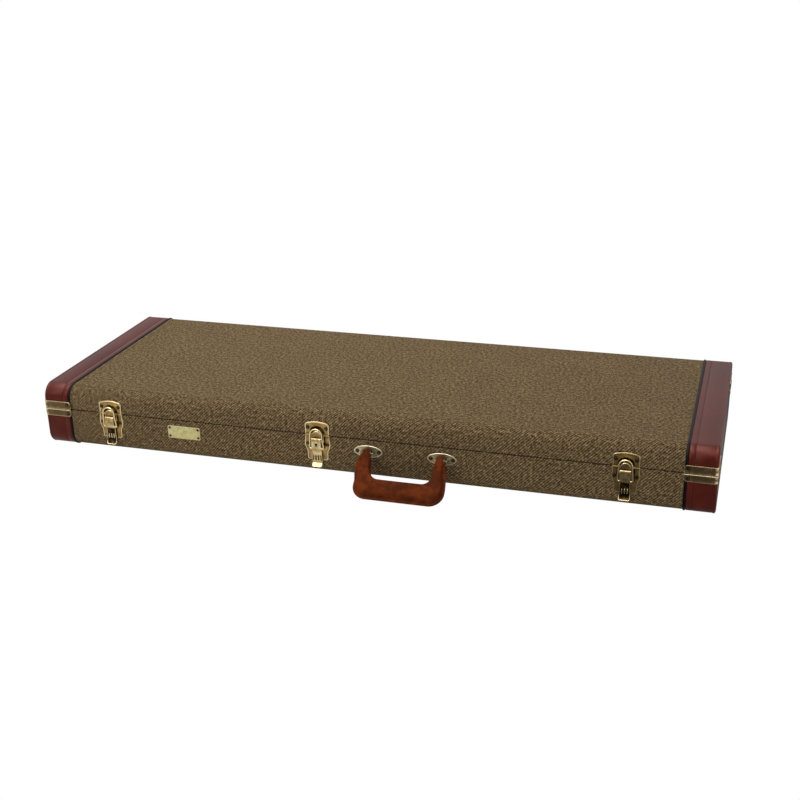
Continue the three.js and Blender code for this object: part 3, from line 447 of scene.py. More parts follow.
class Grower(Nodes):
    """A Geometry Nodes tree with named inputs, and the plain mesh that it leaves."""

    def __init__(self, name, *inputs):
        self.tree = bpy.data.node_groups.new(name, "GeometryNodeTree")
        numbers = [(label, "NodeSocketFloat") for label in inputs]
        for label, kind in (("Geometry", "NodeSocketGeometry"), *numbers, ("Material", "NodeSocketMaterial")):
            self.tree.interface.new_socket(name=label, in_out="INPUT", socket_type=kind)
        self.tree.interface.new_socket(name="Geometry", in_out="OUTPUT", socket_type="NodeSocketGeometry")
        self.given = self.node("NodeGroupInput")

    def vector(self, x, y, z):
        return self.node("ShaderNodeCombineXYZ", {"X": x, "Y": y, "Z": z})("Vector")

    def ball(self, segments, rings, radius, x, y, z):
        """A sphere, stretched by x, y and z."""
        sockets = {"Segments": segments, "Rings": rings, "Radius": radius}
        sphere = self.node("GeometryNodeMeshUVSphere", sockets)("Mesh")
        sockets = {"Geometry": sphere, "Scale": self.vector(x, y, z)}
        return self.node("GeometryNodeTransform", sockets)("Geometry")

    def close(self, points, piece, axis, direction):
        """Sets a copy of the piece on each point, with its axis along a direction."""
        turned = self.node("FunctionNodeAlignRotationToVector", {"Vector": direction}, axis=axis)("Rotation")
        sockets = {"Points": points, "Instance": piece, "Rotation": turned}
        copies = self.node("GeometryNodeInstanceOnPoints", sockets)("Instances")
        real = self.node("GeometryNodeRealizeInstances", {"Geometry": copies})("Geometry")
        smooth = self.node("GeometryNodeSetShadeSmooth", {"Geometry": real})("Geometry")
        sockets = {"Geometry": smooth, "Material": self.given("Material")}
        painted = self.node("GeometryNodeSetMaterial", sockets)("Geometry")
        self.node("NodeGroupOutput", {"Geometry": painted})
        return self

    def grow(self, name, mesh, material, body, slot, **values):
        host = bpy.data.objects.new(name, mesh)
        scene.collection.objects.link(host)
        modifier = host.modifiers.new("grown", "NODES")
        modifier.node_group = self.tree
        values["material"] = material
        for port in self.tree.interface.items_tree:
            if port.in_out == "INPUT" and port.name.lower() in values:
                modifier[port.identifier] = values[port.name.lower()]
        host.data = baked(host)
        host.data.name = name
        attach(host, body)


stitches = Grower("stitches", "Spacing", "Length", "Thickness")
length, thickness = stitches.given("Length"), stitches.given("Thickness")
line = stitches.node("GeometryNodeMeshToCurve", {"Mesh": stitches.given("Geometry")})("Curve")
sockets = {"Curve": line, "Length": stitches.given("Spacing")}
spots = stitches.node("GeometryNodeResampleCurve", sockets, mode="LENGTH")("Curve")
bead = stitches.ball(6, 4, 0.5, length, thickness, thickness)
stitches.close(spots, bead, "X", stitches.node("GeometryNodeInputTangent")("Tangent"))


def thread_finish(name, dark, light):
    build = Finish(name)
    twist = build.noise(1500.0)
    base = build.colours(build.smooth(0.3, 0.7, twist), dark, light)
    return build.surface(base, 0.7 + 0.1 * twist, twist, 0.4, 0.0002)


def sewn(name, lines, material, body, slot, spacing, length, thickness):
    """Stitches along open lines, in mm."""
    mesh = bpy.data.meshes.new(f"{name}_lines")
    edges, start = [], 0
    for line in lines:
        edges += [(start + i, start + i + 1) for i in range(len(line) - 1)]
        start += len(line)
    mesh.from_pydata([Vector(p) * mm for line in lines for p in line], edges, [])
    sizes = {"spacing": spacing * mm, "length": length * mm, "thickness": thickness * mm}
    stitches.grow(name, mesh, material, body, slot, **sizes)


def outline_at(x, out, rim, inward, steps=14):
    """The half case's outline as a line round it at one x."""
    return [(x, y, z) for y, z in case_section(out, rim, inward, steps)]


cap_leather = cap_finish()
cap_thread = thread_finish("cap_thread", (30, 9, 5), (58, 20, 12))
leather = 0.9
crease, crease_out, clip_reach = cap_start + 8.6, 0.35, 14.0
cap_profile = [
    (cap_start - 0.3, -leather), (cap_start - 0.15, 0.4), (cap_start + 0.6, leather), (crease - 1.0, leather),
    (crease - 0.4, 0.55), (crease, 0.3), (crease + 0.4, 0.55), (crease + 1.0, leather),
    (cap_end - 6.2, 0.85), (cap_end - 5.2, 0.7), (cap_end - 4.4, 1.12), (cap_end - 3.4, 1.3),
    (cap_end - 2.4, 1.22), (cap_end - 1.2, 0.5), (cap_end - 0.45, -0.7), (cap_end - 0.1, -2.2),
    (cap_end, -3.6), (cap_end - 0.2, -5.2), (cap_end - 0.45, -6.2),
]
rim_strips = [
    (cap_start + 0.4, front - 0.6, cap_end - 2.2, front + rim_fold),
    (cap_start + 0.4, back + 0.6, cap_end - 2.2, back - rim_fold),
    (cap_end - 8.0, front + 0.4, cap_end - 0.9, back - 0.4),
]
for half, rim, inward in halves:
    for side, sign in sides:
        shape = bmesh.new()
        rings = [outline_at(sign * x, out, rim, inward) for x, out in cap_profile]
        shape.faces.new(swept(shape, rings, closed=False)[-1])
        inner = [outline_at(sign * x, -leather, rim, inward) for x in (cap_start, cap_end - 2.1)]
        swept(shape, inner, closed=False)
        for strip in rim_strips:
            corners = rectangle(*strip)
            swept(shape, [[(sign * x, y, rim + inward * t) for x, y in corners] for t in (0.02, leather)])
        bmesh.ops.remove_doubles(shape, verts=shape.verts, dist=1e-6)
        cap = f"{half}_cap_{side}"
        made(f"leather_end_{half}_{side}", shape, cap_leather, half, [cap], smooth=50)
        seam = outline_at(sign * crease, crease_out, rim + inward * clip_reach, inward)
        sewn(f"cap_stitches_{half}_{side}", [seam], cap_thread, half, "cap_leather", 4.6, 3.2, 0.9)


# Piping: a black vinyl cord let in between the cloth and the leather, all round each half of the case.
# Under the base it is a little flat, so that the case stands on its own underside.
def piping_finish():
    build = Finish("piping")
    grain = build.noise(900.0, 3.0)
    dust = build.noise(70.0, 3.0)
    base = build.colours(build.smooth(0.4, 0.75, dust), (4, 4, 6), (11, 12, 15))
    return build.surface(base, 0.34 + 0.14 * dust, grain, 0.2, 0.0002, {"Specular IOR Level": 0.16})


def wire(shape, points, radius, sides):
    """A round cord or wire along points, in mm, closed at both ends."""
    points = [Vector(p) for p in points]
    last = len(points) - 1
    runs = [(points[min(i + 1, last)] - points[max(i - 1, 0)]).normalized() for i in range(last + 1)]
    aside = runs[0].orthogonal().normalized()
    turns = [2 * math.pi * k / sides for k in range(sides)]
    rings = []
    for point, run in zip(points, runs):
        aside = (aside - aside.dot(run) * run).normalized()
        other = run.cross(aside)
        rings.append([point + radius * (math.cos(a) * aside + math.sin(a) * other) for a in turns])
    swept(shape, rings)


piping = piping_finish()
piping_low, piping_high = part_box("base_piping_right")
piping_x = (piping_low.x + piping_high.x) / 2 / mm
for half, rim, inward in halves:
    for side, sign in sides:
        shape = bmesh.new()
        wire(shape, outline_at(sign * piping_x, -0.3, rim, inward, 16), 2.2, 14)
        for vert in shape.verts:
            vert.co.z = max(vert.co.z, piping_low.z)
        made(f"piping_cord_{half}_{side}", shape, piping, half, [f"{half}_piping_{side}"])


# Metals: sheet brass, pressed and then antiqued. The dark finish stays in the hollows and is rubbed
# bright on the edges; an attribute from made() says where, and on some pieces it also carries painted
# shade and painted highlights. Steel pins and eyes take the same recipe.
def metal_finish(name, hollow, middle, rubbed, roughness, clouding=0.55):
    build = Finish(name)
    patina = build.noise(140.0, 5.0, 0.6)
    brushed = build.noise(1.0, place=build.stretched((2600, 300, 160), turned=(0, 0.6, 0)))
    tone = build.wear() + clouding * (patina - 0.5) + 0.22 * (brushed - 0.5)
    base = build.ramp(tone, (0.14, hollow), (0.46, middle), (0.68, rubbed))
    dull = roughness + 0.22 * (1 - build.smooth(0.3, 0.8, tone))
    return build.surface(base, dull, brushed * 0.7 + patina * 0.6, 0.22, 0.0001, {"Metallic": 1.0})


antique_brass = metal_finish("antique_brass", (38, 28, 18), (186, 152, 94), (255, 234, 182), 0.22)
pale_brass = metal_finish("pale_brass", (70, 60, 40), (198, 182, 138), (250, 242, 212), 0.26)
stained_brass = metal_finish("stained_brass", (10, 7, 4), (34, 25, 15), (104, 82, 54), 0.34)
black_steel = metal_finish("black_steel", (8, 8, 9), (30, 28, 26), (96, 92, 86), 0.36)
steel = metal_finish("steel", (84, 82, 78), (140, 138, 134), (205, 203, 198), 0.3)


def brass_part(name, shape, body, node, bevel=0.0, stain_and_painted_light=None):
    """A piece of antiqued brass that stands for one solid."""
    made(name, shape, antique_brass, body, [node], bevel, stain_and_painted_light=stain_and_painted_light)


def drawn_in(outline, inset):
    """A closed outline, moved inwards all round by an inset."""
    points = [Vector((*p, 0)) for p in outline]
    count = len(points)
    area = sum(points[i].cross(points[(i + 1) % count]).z for i in range(count))
    up = Vector((0, 0, 1 if area > 0 else -1))
    moved = []
    for i, here in enumerate(points):
        before = up.cross((here - points[i - 1]).normalized())
        after = up.cross((points[(i + 1) % count] - here).normalized())
        middle = (before + after).normalized()
        moved.append(here + middle * inset / max(middle.dot(before), 0.45))
    return [(p.x, p.y) for p in moved]


def pressed(shape, outline, profile, at):
    """A pressed plate: its outline drawn in step by step, with each step's height above the case's face."""
    profile = [*profile, (profile[-1][0] + 0.4, profile[-1][1])]
    swept(shape, [[at(x, out, z) for x, z in drawn_in(outline, inset)] for inset, out in profile])


def pierced(shape, loops, out0, out1, at):
    """A flat plate with holes: the first loop is its outline."""
    layers = []
    for out in (out0, out1):
        layers.append([[shape.verts.new(Vector(at(x, out, z)) * mm) for x, z in loop] for loop in loops])
    for layer in layers:
        edges = [shape.edges.new((loop[i - 1], loop[i])) for loop in layer for i in range(len(loop))]
        bmesh.ops.triangle_fill(shape, use_beauty=True, edges=edges)
    for loop, other in zip(*layers):
        for i in range(len(loop)):
            shape.faces.new((loop[i - 1], loop[i], other[i], other[i - 1]))


def arc(x, z, radius, start, end, steps, other_radius=None):
    """Points along a circle or an ellipse, with the angles in degrees."""
    turns = [math.radians(start + (end - start) * i / steps) for i in range(steps + 1)]
    return [(x + radius * math.cos(a), z + (other_radius or radius) * math.sin(a)) for a in turns]


def circle(x, z, radius, steps, other_radius=None):
    return arc(x, z, radius, 0, 360, steps, other_radius)[:-1]


def smoothed(points, steps):
    """A smooth open line through the points."""
    last = len(points) - 1
    result = []
    for i in range(last):
        before, start, end, after = (Vector(points[min(max(k, 0), last)]) for k in range(i - 1, i + 3))
        for step in range(steps):
            t = step / steps
            result.append(tuple(0.5 * (
                2 * start + (end - before) * t + (2 * before - 5 * start + 4 * end - after) * t * t
                + (3 * start - before - 3 * end + after) * t ** 3
            )))
    return [*result, tuple(points[-1])]


# Rivets and screws: small heads that hold the hardware. One tree sets a head on each marked point,
# along the direction that the point carries, and makes it lighter towards the top of the head.
def head_tree(name, slotted):
    """A domed rivet with a ring round it, or a flat screw head with a cross cut in it."""
    build = Grower(name, "Radius", "Height")
    radius, height = build.given("Radius"), build.given("Height")

    def disc(top, depth):
        sockets = {"Vertices": 20, "Side Segments": 2, "Radius Top": radius * top, "Radius Bottom": radius}
        return build.node("GeometryNodeMeshCone", {**sockets, "Depth": depth})("Mesh")

    def bar(length, width):
        size = build.vector(radius * length, radius * width, height * 0.6)
        return build.node("GeometryNodeMeshCube", {"Size": size})("Mesh")

    if slotted:
        bars = {"Mesh 2": [bar(1.3, 0.26), bar(0.26, 1.3)]}
        cross = build.node("GeometryNodeMeshBoolean", bars, operation="UNION")("Mesh")
        lift = {"Geometry": cross, "Translation": build.vector(0.0, 0.0, height * 0.85)}
        cut = {"Mesh 1": disc(0.84, height), "Mesh 2": build.node("GeometryNodeTransform", lift)("Geometry")}
        head = build.node("GeometryNodeMeshBoolean", cut, operation="DIFFERENCE")("Mesh")
    else:
        dome = build.ball(18, 10, 1.0, radius * 0.62, radius * 0.62, height)
        parts = {"Geometry": [dome, disc(0.9, height * 0.5)]}
        head = build.node("GeometryNodeJoinGeometry", parts)("Geometry")
    above = build.split(build.node("GeometryNodeInputPosition")("Position"))("Z")
    lightness = {"Geometry": head, "Name": "wear", "Value": build.smooth(0.15, 0.9, above / height)}
    head = build.node("GeometryNodeStoreNamedAttribute", lightness, data_type="FLOAT")("Geometry")
    points = build.node("GeometryNodeMeshToPoints", {"Mesh": build.given("Geometry")})("Points")
    marked = {"Name": "outward"}
    outward = build.node("GeometryNodeInputNamedAttribute", marked, data_type="FLOAT_VECTOR")("Attribute")
    return build.close(points, head, "Z", outward)


rivet_heads = head_tree("rivet_heads", False)
screw_heads = head_tree("screw_heads", True)


def set_heads(tree, name, places, material, body, slot, radius, height):
    """Heads at lone places, in mm: each is a point and the direction in which its head faces."""
    mesh = bpy.data.meshes.new(f"{name}_places")
    mesh.from_pydata([Vector(point) * mm for point, _ in places], [], [])
    outward = mesh.attributes.new("outward", "FLOAT_VECTOR", "POINT")
    outward.data.foreach_set("vector", [c for _, facing in places for c in facing])
    tree.grow(name, mesh, material, body, slot, radius=radius * mm, height=height * mm)


def set_rivets(name, places, body, slot, radius, height):
    """Rivets of stained brass."""
    set_heads(rivet_heads, name, places, stained_brass, body, slot, radius, height)


# Hinges: three butt hinges screwed to the back. The base leaf has the two outer knuckles, the lid
# leaf the middle one, and a steel pin with headed ends goes through them.
def back_face(x0):
    return lambda x, out, z: (x0 + x, back + out, z)


knuckle, knuckle_end, leaf_gap, leaf_height, middle_half = 3.6, 3.3, 3.9, 25, 10.8
leaf_edge = [(0, 0), (0, 0.9), (0.3, 1.2)]
screw_seat = 1.35
for side in ("left", "center", "right"):
    low, high = (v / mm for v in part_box(f"hinge_base_leaf_{side}"))
    pin_low, pin_high = (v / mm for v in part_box(f"hinge_pin_{side}"))
    middle, half_width = (low.x + high.x) / 2, (high.x - low.x) / 2
    axis_y, axis_z = (pin_low.y + pin_high.y) / 2, (pin_low.z + pin_high.z) / 2
    at = back_face(middle)
    for half, rim, inward in halves:
        near, far = axis_z + inward * leaf_gap, axis_z + inward * (leaf_gap + leaf_height)
        leaf = rectangle(-half_width, min(near, far), half_width, max(near, far))
        shape = bmesh.new()
        pressed(shape, leaf, leaf_edge, at)
        spans = [(-middle_half, middle_half)]
        if half == "base":
            spans = [(-half_width, -middle_half - 0.3), (middle_half + 0.3, half_width)]
        for x0, x1 in spans:
            rings = []
            for x, radius in ((x0, knuckle_end), (x0 + 0.3, knuckle), (x1 - 0.3, knuckle), (x1, knuckle_end)):
                rings.append([(middle + x, y, z) for y, z in circle(axis_y, axis_z, radius, 28)])
            swept(shape, rings)
            root = rectangle(x0 + 0.1, axis_z + inward * 0.4, x1 - 0.1, near + inward * 0.4)
            pressed(shape, root, [(0, 0), (0, 1.2)], at)
        brass_part(f"hinge_{half}_{side}", shape, half, f"hinge_{half}_leaf_{side}")
        screws = ((-22, 8), (0, 15), (22, 8), (-13, 19.5), (13, 19.5))
        places = [(at(x, screw_seat, near + inward * z), (0, 1, 0)) for x, z in screws]
        name = f"hinge_screws_{half}_{side}"
        set_heads(screw_heads, name, places, pale_brass, half, "antique_brass", 2.9, 0.7)
    dress(f"hinge_pin_{side}", steel)


# Draw latches: a pressed plate on the base with two ears for the lever's pin, a lever with a finger
# tab, a wire bail that it pulls down, and a catch plate on the lid with a hooked boss for the bail.
def front_face(x0):
    return lambda x, out, z: (x0 + x, front - out, z)


def mirrored_outline(right):
    """A whole outline from its right half, which runs upwards."""
    return [*right, *((-x, z) for x, z in reversed(right))]


forward = (0, -1, 0)
sheet, lever_half, boss_half = 1.2, 7.7, 7.6
lever_face, tab_face = 8.0, 4.2
pin_out, pin_z, nose_radius = 3.8, 60.8, 4.2
bail_out, bail_z = 5.3, 46.5
lock_z, lock_radius, lock_low, lock_high = 53.3, 3.35, 49.0, 57.6
rib_spacing, rib_low, rib_high = 4.2, 25.6, 34.6
plate_side = smoothed([
    (13.8, 25.9), (16.4, 27.2), (16.8, 31.0), (16.9, 36.0), (17.4, 40.8), (19.4, 45.2), (20.9, 49.4),
    (20.9, 55.6), (20.2, 60.0), (19.8, 62.2),
], 4)
plate_outline = mirrored_outline([*plate_side, (20.1, base_rim), (9.1, base_rim), (9.1, 57.5)])
catch_side = [(19.7, lid_rim), (19.5, 72.0), (19.6, 78.0)]
catch_side += smoothed([(19.9, 82.4), (19.6, 84.6), (18.4, 86.4), (16.0, 87.5), (11.0, 88.8), (5.6, 89.7)], 3)
catch_outline = mirrored_outline(catch_side)
catch_outline.insert(len(catch_side), (0, 90.0))
boss_arch = arc(0, 68.2, boss_half, 0, 180, 22, 7.4)
boss_outline = [(-boss_half, 65.6), (boss_half, 65.6), *boss_arch]
boss_upper = [(-boss_half, lid_rim), (boss_half, lid_rim), *boss_arch]
keyhole = [(1.5, 50.5), (1.25, 52.6), *arc(0, 54.1, 2.15, -50, 230, 14), (-1.25, 52.6), (-1.5, 50.5)]
plate_edge = [(0, 0), (0, 0.75), (0.25, 1.1), (0.7, 1.2), (1.5, 1.0), (1.9, 0.8)]
catch_edge = [(0, 0), (0, 0.8), (0.3, 1.1), (0.8, 1.2), (1.6, 1.15), (2.2, 0.85), (2.6, 0.75)]
boss_edge = [(0.15, 1.7), (0, 1.9), (0, 4.3), (0.25, 5.2)]
boss_edge += [(0.6, 5.72), (0.95, 5.85), (1.35, 5.75), (1.6, 5.66)]
# Thin panels beside the lever and inside the bail, coloured dark: painted shade.
plate_shade_panel = ((9.3, 44.0), (13.2, 46.0), (13.4, 58.0), (13.0, base_rim - 0.2), (9.3, base_rim - 0.2))
catch_shade_panel = [(-12.6, lid_rim + 0.2), (12.6, lid_rim + 0.2), *arc(0, 70.6, 12.6, 0, 180, 20, 12.2)]
groove = ((17.4, 43.6), (19.2, 48.8), (19.3, 55.2), (18.6, 62.0))
ear = [(5.4, 46.5), (5.4, 56.6), (6.0, 57.6), *arc(pin_out, pin_z, 2.7, -35, 215, 12)]
ear += [(1.2, 57.5), (0.4, 57.4), (0.4, 46.5)]


def nose(*angles):
    """Points round the lever's pin, out and height."""
    return [(pin_out + nose_radius * math.cos(a), pin_z + nose_radius * math.sin(a)) for a in angles]


def lever_rows():
    """The lever's face line from its nose to its finger tab: out, height, half-width."""
    rows = [(out, z, lever_half) for out, z in nose(0.87, 0.72, 0.56, 0.4, 0.24, 0.1)]
    rows += [(lever_face, z, lever_half) for z in (60.4, 54.0, 47.2)]
    rows += [(7.85, 46.5, 7.7), (7.4, 45.8, 7.7), (4.7, 42.3, 7.6), (4.3, 41.6, 7.5)]
    narrow = ((40.4, 7.4), (38.0, 7.4), (36.0, 7.4), (33.0, 7.5), (30.0, 7.6), (28.2, 7.8))
    rows += [(tab_face, z, half_width) for z, half_width in narrow]
    for t in (0.0, 0.15, 0.3, 0.45, 0.6, 0.72, 0.82, 0.9, 0.95, 0.985, 1.0):
        out = tab_face * (1 - t * t) + 8.9 * t * t
        height = 27 * (1 - t) ** 2 + 22 * 2 * t * (1 - t) + 17 * t * t
        corner = 2.8 * (1 - math.sqrt(max(1 - max(t - 0.8, 0) ** 2 / 0.04, 0)))
        rows.append((out, height, 7.9 + 0.4 * min(t / 0.35, 1) - corner))
    return rows


def bent_strip(shape, rows, at):
    """A strip of sheet metal that follows a line seen from the side."""
    rings = []
    for i, (out, z, half_width) in enumerate(rows):
        before, after = rows[max(i - 1, 0)], rows[min(i + 1, len(rows) - 1)]
        run = Vector((after[0] - before[0], after[1] - before[1])).normalized()
        across = (-half_width, 1.1 - half_width, 0, half_width - 1.1, half_width)
        under = [at(x, out + run.y * sheet, z - run.x * sheet) for x in reversed(across)]
        rings.append([at(x, out, z) for x in across] + under)
    swept(shape, rings)


def cheek(shape, outline, x0, x1, at):
    """A plate that stands out from the case, drawn in side view."""
    swept(shape, [[at(x, out, z) for out, z in outline] for x in (x0, x1)])


def bail_lighter_clear(p):
    """Lighter where the wire stands clear of the plates, more than 6 mm out from the case's face."""
    return -0.2 if front - p.y > 6.0 else 0.0


def plug_shade(p):
    """Painted shade all round and behind, where the keyhole looks in; bare on its face."""
    return 0.5 if front - p.y < 7 else 0.0


for side in ("left", "center", "right"):
    low, high = (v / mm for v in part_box(f"latch_plate_{side}"))
    middle = (low.x + high.x) / 2
    at = front_face(middle)
    locked = side == "center"

    def plate_wear_and_shade(p, middle=middle):
        """Painted shade on the panels beside the lever and inside the bail. Elsewhere, how much of the dark
        finish has stayed: least on the rims and the boss's face; a little darker near the seam.
        """
        x, z, out = abs(p.x - middle), p.z, front - p.y
        # The panels beside the lever and inside the bail: painted shade.
        if x < 13.6 and 43.5 < z < 83.5 and (0.755 < out < 0.795 or 0.815 < out < 0.845):
            return 0.36
        if abs(z - seam_middle) < 3:
            return 0.12
        return -0.22 if 1.05 < out < 1.4 or out > 5.7 else 0.07

    shape = bmesh.new()
    pressed(shape, plate_outline, plate_edge, at)
    pierced(shape, [rectangle(-9.4, 65.7, 9.4, base_rim)], 0, 0.8, at)
    for x_side in (-1, 1):
        pressed(shape, [(x_side * x, z) for x, z in plate_shade_panel], [(0, 0.6), (0, 0.82), (0.4, 0.84)], at)
        wire(shape, [at(x_side * x, 0.95, z) for x, z in smoothed(groove, 4)], 0.6, 8)
        cheek(shape, ear, x_side * 5.1, x_side * 6.2, at)
    brass_part(f"latch_base_{side}", shape, "base", f"latch_plate_{side}", 0.12, plate_wear_and_shade)
    places = [(at(x, 0.85, 52.4), forward) for x in (-16.2, 16.2)]
    set_rivets(f"latch_base_rivets_{side}", places, "base", "antique_brass", 2.7, 0.8)
    dress(f"latch_pin_{side}", steel)

    shape = bmesh.new()
    pressed(shape, catch_outline, catch_edge, at)
    pressed(shape, catch_shade_panel, [(0, 0.5), (0, 0.77), (0.4, 0.79)], at)
    pressed(shape, boss_outline, boss_edge, at)
    pressed(shape, boss_upper, [(0, 0.4), (0, 2.4)], at)
    brass_part(f"latch_catch_plate_{side}", shape, "lid", f"latch_catch_{side}", 0.12, plate_wear_and_shade)
    places = [(at(x, 0.8, 79.4), forward) for x in (-15.4, 15.4)]
    set_rivets(f"latch_catch_rivets_{side}", places, "lid", "antique_brass", 3.2, 1.0)

    def lever_wear_and_shade(p, middle=middle, locked=locked):
        """Painted shade between the tab's ribs and over the side latches' tabs, a painted highlight over the
        middle latch's tab; rubbed bright along its rolled edges, lighter on the ribs' tops and the tab's end.
        """
        x, z, out = abs(p.x - middle), p.z, front - p.y
        beside_ribs = rib_low < z < rib_high
        if z > 45.5:
            return 0.0
        if x > (6.95 if z > 28.5 else 7.5) or out > 8.35:
            return -0.24
        if beside_ribs and out > 4.3 and min(x, abs(x - rib_spacing)) < 0.9:
            return -0.24
        # Painted shade between the ribs and on the side latches' tabs; a painted highlight on the middle
        # one's.
        return 0.34 if beside_ribs or not locked else -0.14

    shape = bmesh.new()
    rows = lever_rows()
    if locked:
        bent_strip(shape, rows[:7] + [(lever_face, lock_high, lever_half)], at)
        bent_strip(shape, [(lever_face, lock_low, lever_half), *rows[8:]], at)
        window = rectangle(-lever_half, lock_low, lever_half, lock_high)
        pierced(shape, [window, circle(0, lock_z, 3.6, 32)], lever_face - sheet, lever_face, at)
    else:
        bent_strip(shape, rows, at)
    cheek_line = [(7.8, 46.6), (5.2, 43.6), (1.6, 43.6), (1.6, pin_z), (2.3, 62.3), (pin_out, 63.0)]
    cheek_line += nose(0.87, 0.66, 0.44, 0.22, 0)
    rolled = [at(half_width - 0.45, out + 0.05, z) for out, z, half_width in rows[12:-1]]
    rolled += [at(0.45 - half_width, out + 0.05, z) for out, z, half_width in reversed(rows[12:-1])]
    wire(shape, rolled, 0.62, 8)
    rib = ((26.2, 4.3), (27.2, 4.75), (32.8, 4.75), (34.0, 4.3))
    for x in (-rib_spacing, 0, rib_spacing):
        wire(shape, [at(x, out, z) for z, out in rib], 0.85, 10)
    for x_side in (-1, 1):
        cheek(shape, cheek_line, x_side * (lever_half - 1.1), x_side * lever_half, at)
        wire(shape, [at(x_side * x, bail_out, bail_z) for x in (7.5, 9.2)], 1.7, 14)
    if locked:
        pierced(shape, [circle(0, lock_z, radius, 32) for radius in (3.9, 3.45)], 7.0, 8.25, at)
    brass_part(f"latch_lever_sheet_{side}", shape, f"lever_{side}", f"latch_lever_{side}", 0.14, lever_wear_and_shade)

    shape = bmesh.new()
    legs = [(-8.0, bail_out, bail_z), (-9.6, bail_out, bail_z), (-10.8, 5.35, 47.2), (-11.1, 5.5, 48.9)]
    legs += [(-10.8, 6.3, 54.5), (-10.1, 7.2, 63.0)]
    bail_top = 69.6 if locked else 70.8
    loop = [(x, 7.4, z) for x, z in arc(0, bail_top, 9.7, 180, 0, 14)]
    path = smoothed(legs + loop + [(-x, out, z) for x, out, z in reversed(legs)], 3)
    wire(shape, [at(*p) for p in path], 1.2, 12)
    brass_part(f"latch_bail_wire_{side}", shape, f"bail_{side}", f"latch_bail_{side}", stain_and_painted_light=bail_lighter_clear)

    if locked:
        shape = bmesh.new()
        disc = circle(0, lock_z, lock_radius, 36)
        pierced(shape, [disc, keyhole], 5.6, lever_face, at)
        swept(shape, [[at(x, out, z) for x, z in disc] for out in (4.0, 5.5)])
        pierced(shape, [rectangle(-1.5, 48.7, 1.5, lock_z)], 3.0, 4.1, at)
        plug = ["lock_plug"]
        made("lock_cylinder", shape, pale_brass, "key_plug", plug, 0.1, stain_and_painted_light=plug_shade)


# Name plate: a thin brass plate with nothing on it, below the seam between two of the latches. Four
# small screws hold it, one in each corner.
low, high = (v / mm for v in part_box("name_plate"))
middle, centre_z = (low.x + high.x) / 2, (low.z + high.z) / 2
corner = 1.6
half_w, half_h = (high.x - low.x) / 2 - corner, (high.z - low.z) / 2 - corner
quarters = ((half_w, half_h, 0), (-half_w, half_h, 90), (-half_w, -half_h, 180), (half_w, -half_h, 270))
plate_line = [p for x, z, a in quarters for p in arc(x, centre_z + z, corner, a, a + 90, 5)]
shape = bmesh.new()
at = front_face(middle)
pressed(shape, plate_line, [(0, 0), (0, 0.55), (0.2, 0.85), (0.6, 0.9), (0.9, 0.74), (1.15, 0.68)], at)
plate_brass = metal_finish("plate_brass", (172, 158, 94), (228, 216, 150), (248, 242, 196), 0.42)
made("plain_plate", shape, plate_brass, "base", ["name_plate"])
places = [(at(x, 0.75, centre_z + z), forward) for x in (-24.5, 24.5) for z in (-7, 7)]
set_heads(screw_heads, "plain_plate_screws", places, black_steel, "base", "steel", 2.1, 0.6)


# Drop handle: leather round a stiff core, two layers sewn together along the outer edge. Each leg
# turns on the staple of an oval plate. Here it hangs out from the case and rests on the floor.
handle_low, handle_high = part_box("handle_grip")
handle_x = (handle_low.x + handle_high.x) / 2 / mm
pivot_out, pivot_z, droop = 8.2, 48.5, 0.60434
away = Vector((0, -math.cos(droop), -math.sin(droop)))
upper_side = Vector((0, -math.sin(droop), math.cos(droop)))
pivot = Vector((handle_x, front - pivot_out, pivot_z))
nose_half, grip_half, bar_inner, bar_outer = 5.8, 9.0, 44, 78


def within(value):
    return min(max(value, 0), 1)


def on_handle(x, height, reach_out):
    """A point of the handle. As in the photograph its soft legs lean a little to the right, and the left
    one bulges at its outer edge."""
    lean = 5.4 * within(reach_out / 50) - 0.5
    lean -= 3.2 * math.sin(math.pi * within(reach_out / 46)) * within((-x - 50) / 16)
    return pivot + Vector((x + lean, 0, 0)) + upper_side * height + away * reach_out


def suede_finish():
    build = Finish("grip_leather")
    rubbed = build.noise(62.0, 5.0, 0.62, 0.5)
    nap = build.noise(900.0, 3.0)
    wear = build.smooth(0.55, 0.75, build.wear())
    tone = build.smooth(0.34, 0.7, rubbed + 0.25 * (nap - 0.5))
    base = build.colours(tone, (74, 27, 2), (110, 46, 7))
    base = build.colours(wear * 0.35, base, (84, 36, 14))
    height = nap * 0.6 + rubbed * 0.8
    return build.surface(base, 0.72 + 0.2 * nap, height, 0.4, 0.0004, {"Specular IOR Level": 0.12})


def grip_stations():
    """Inner and outer edge of the handle along its run, from the left nose to the middle."""
    stations = []
    for angle in (14, 30, 50, 70):
        a = math.radians(angle)
        w = -nose_half * math.cos(a)
        stations.append(((-50.9, w), (-65.9, w), nose_half * math.sin(a)))
    for i in range(9):
        down = 29 * i / 8
        swell = 1 - (1 - min(down / 24, 1)) ** 2
        outer = (-66.0 - 4.8 * swell, down * 56 / 29)
        half = nose_half + (grip_half - nose_half) * within((down - 8) / 22)
        stations.append(((-50.8 + 3.2 * i / 8, down), outer, half))
    bend = arc(-32.6, 29, 15, 180, 90, 12)[1:], arc(-48.8, 56, 22, 180, 90, 12)[1:]
    stations += [(inner, outer, grip_half) for inner, outer in zip(*bend)]
    for i in range(1, 6):
        to_middle = 1 - i / 5
        stations.append(((-32.6 * to_middle, bar_inner), (-48.8 * to_middle, bar_outer), grip_half))
    return stations


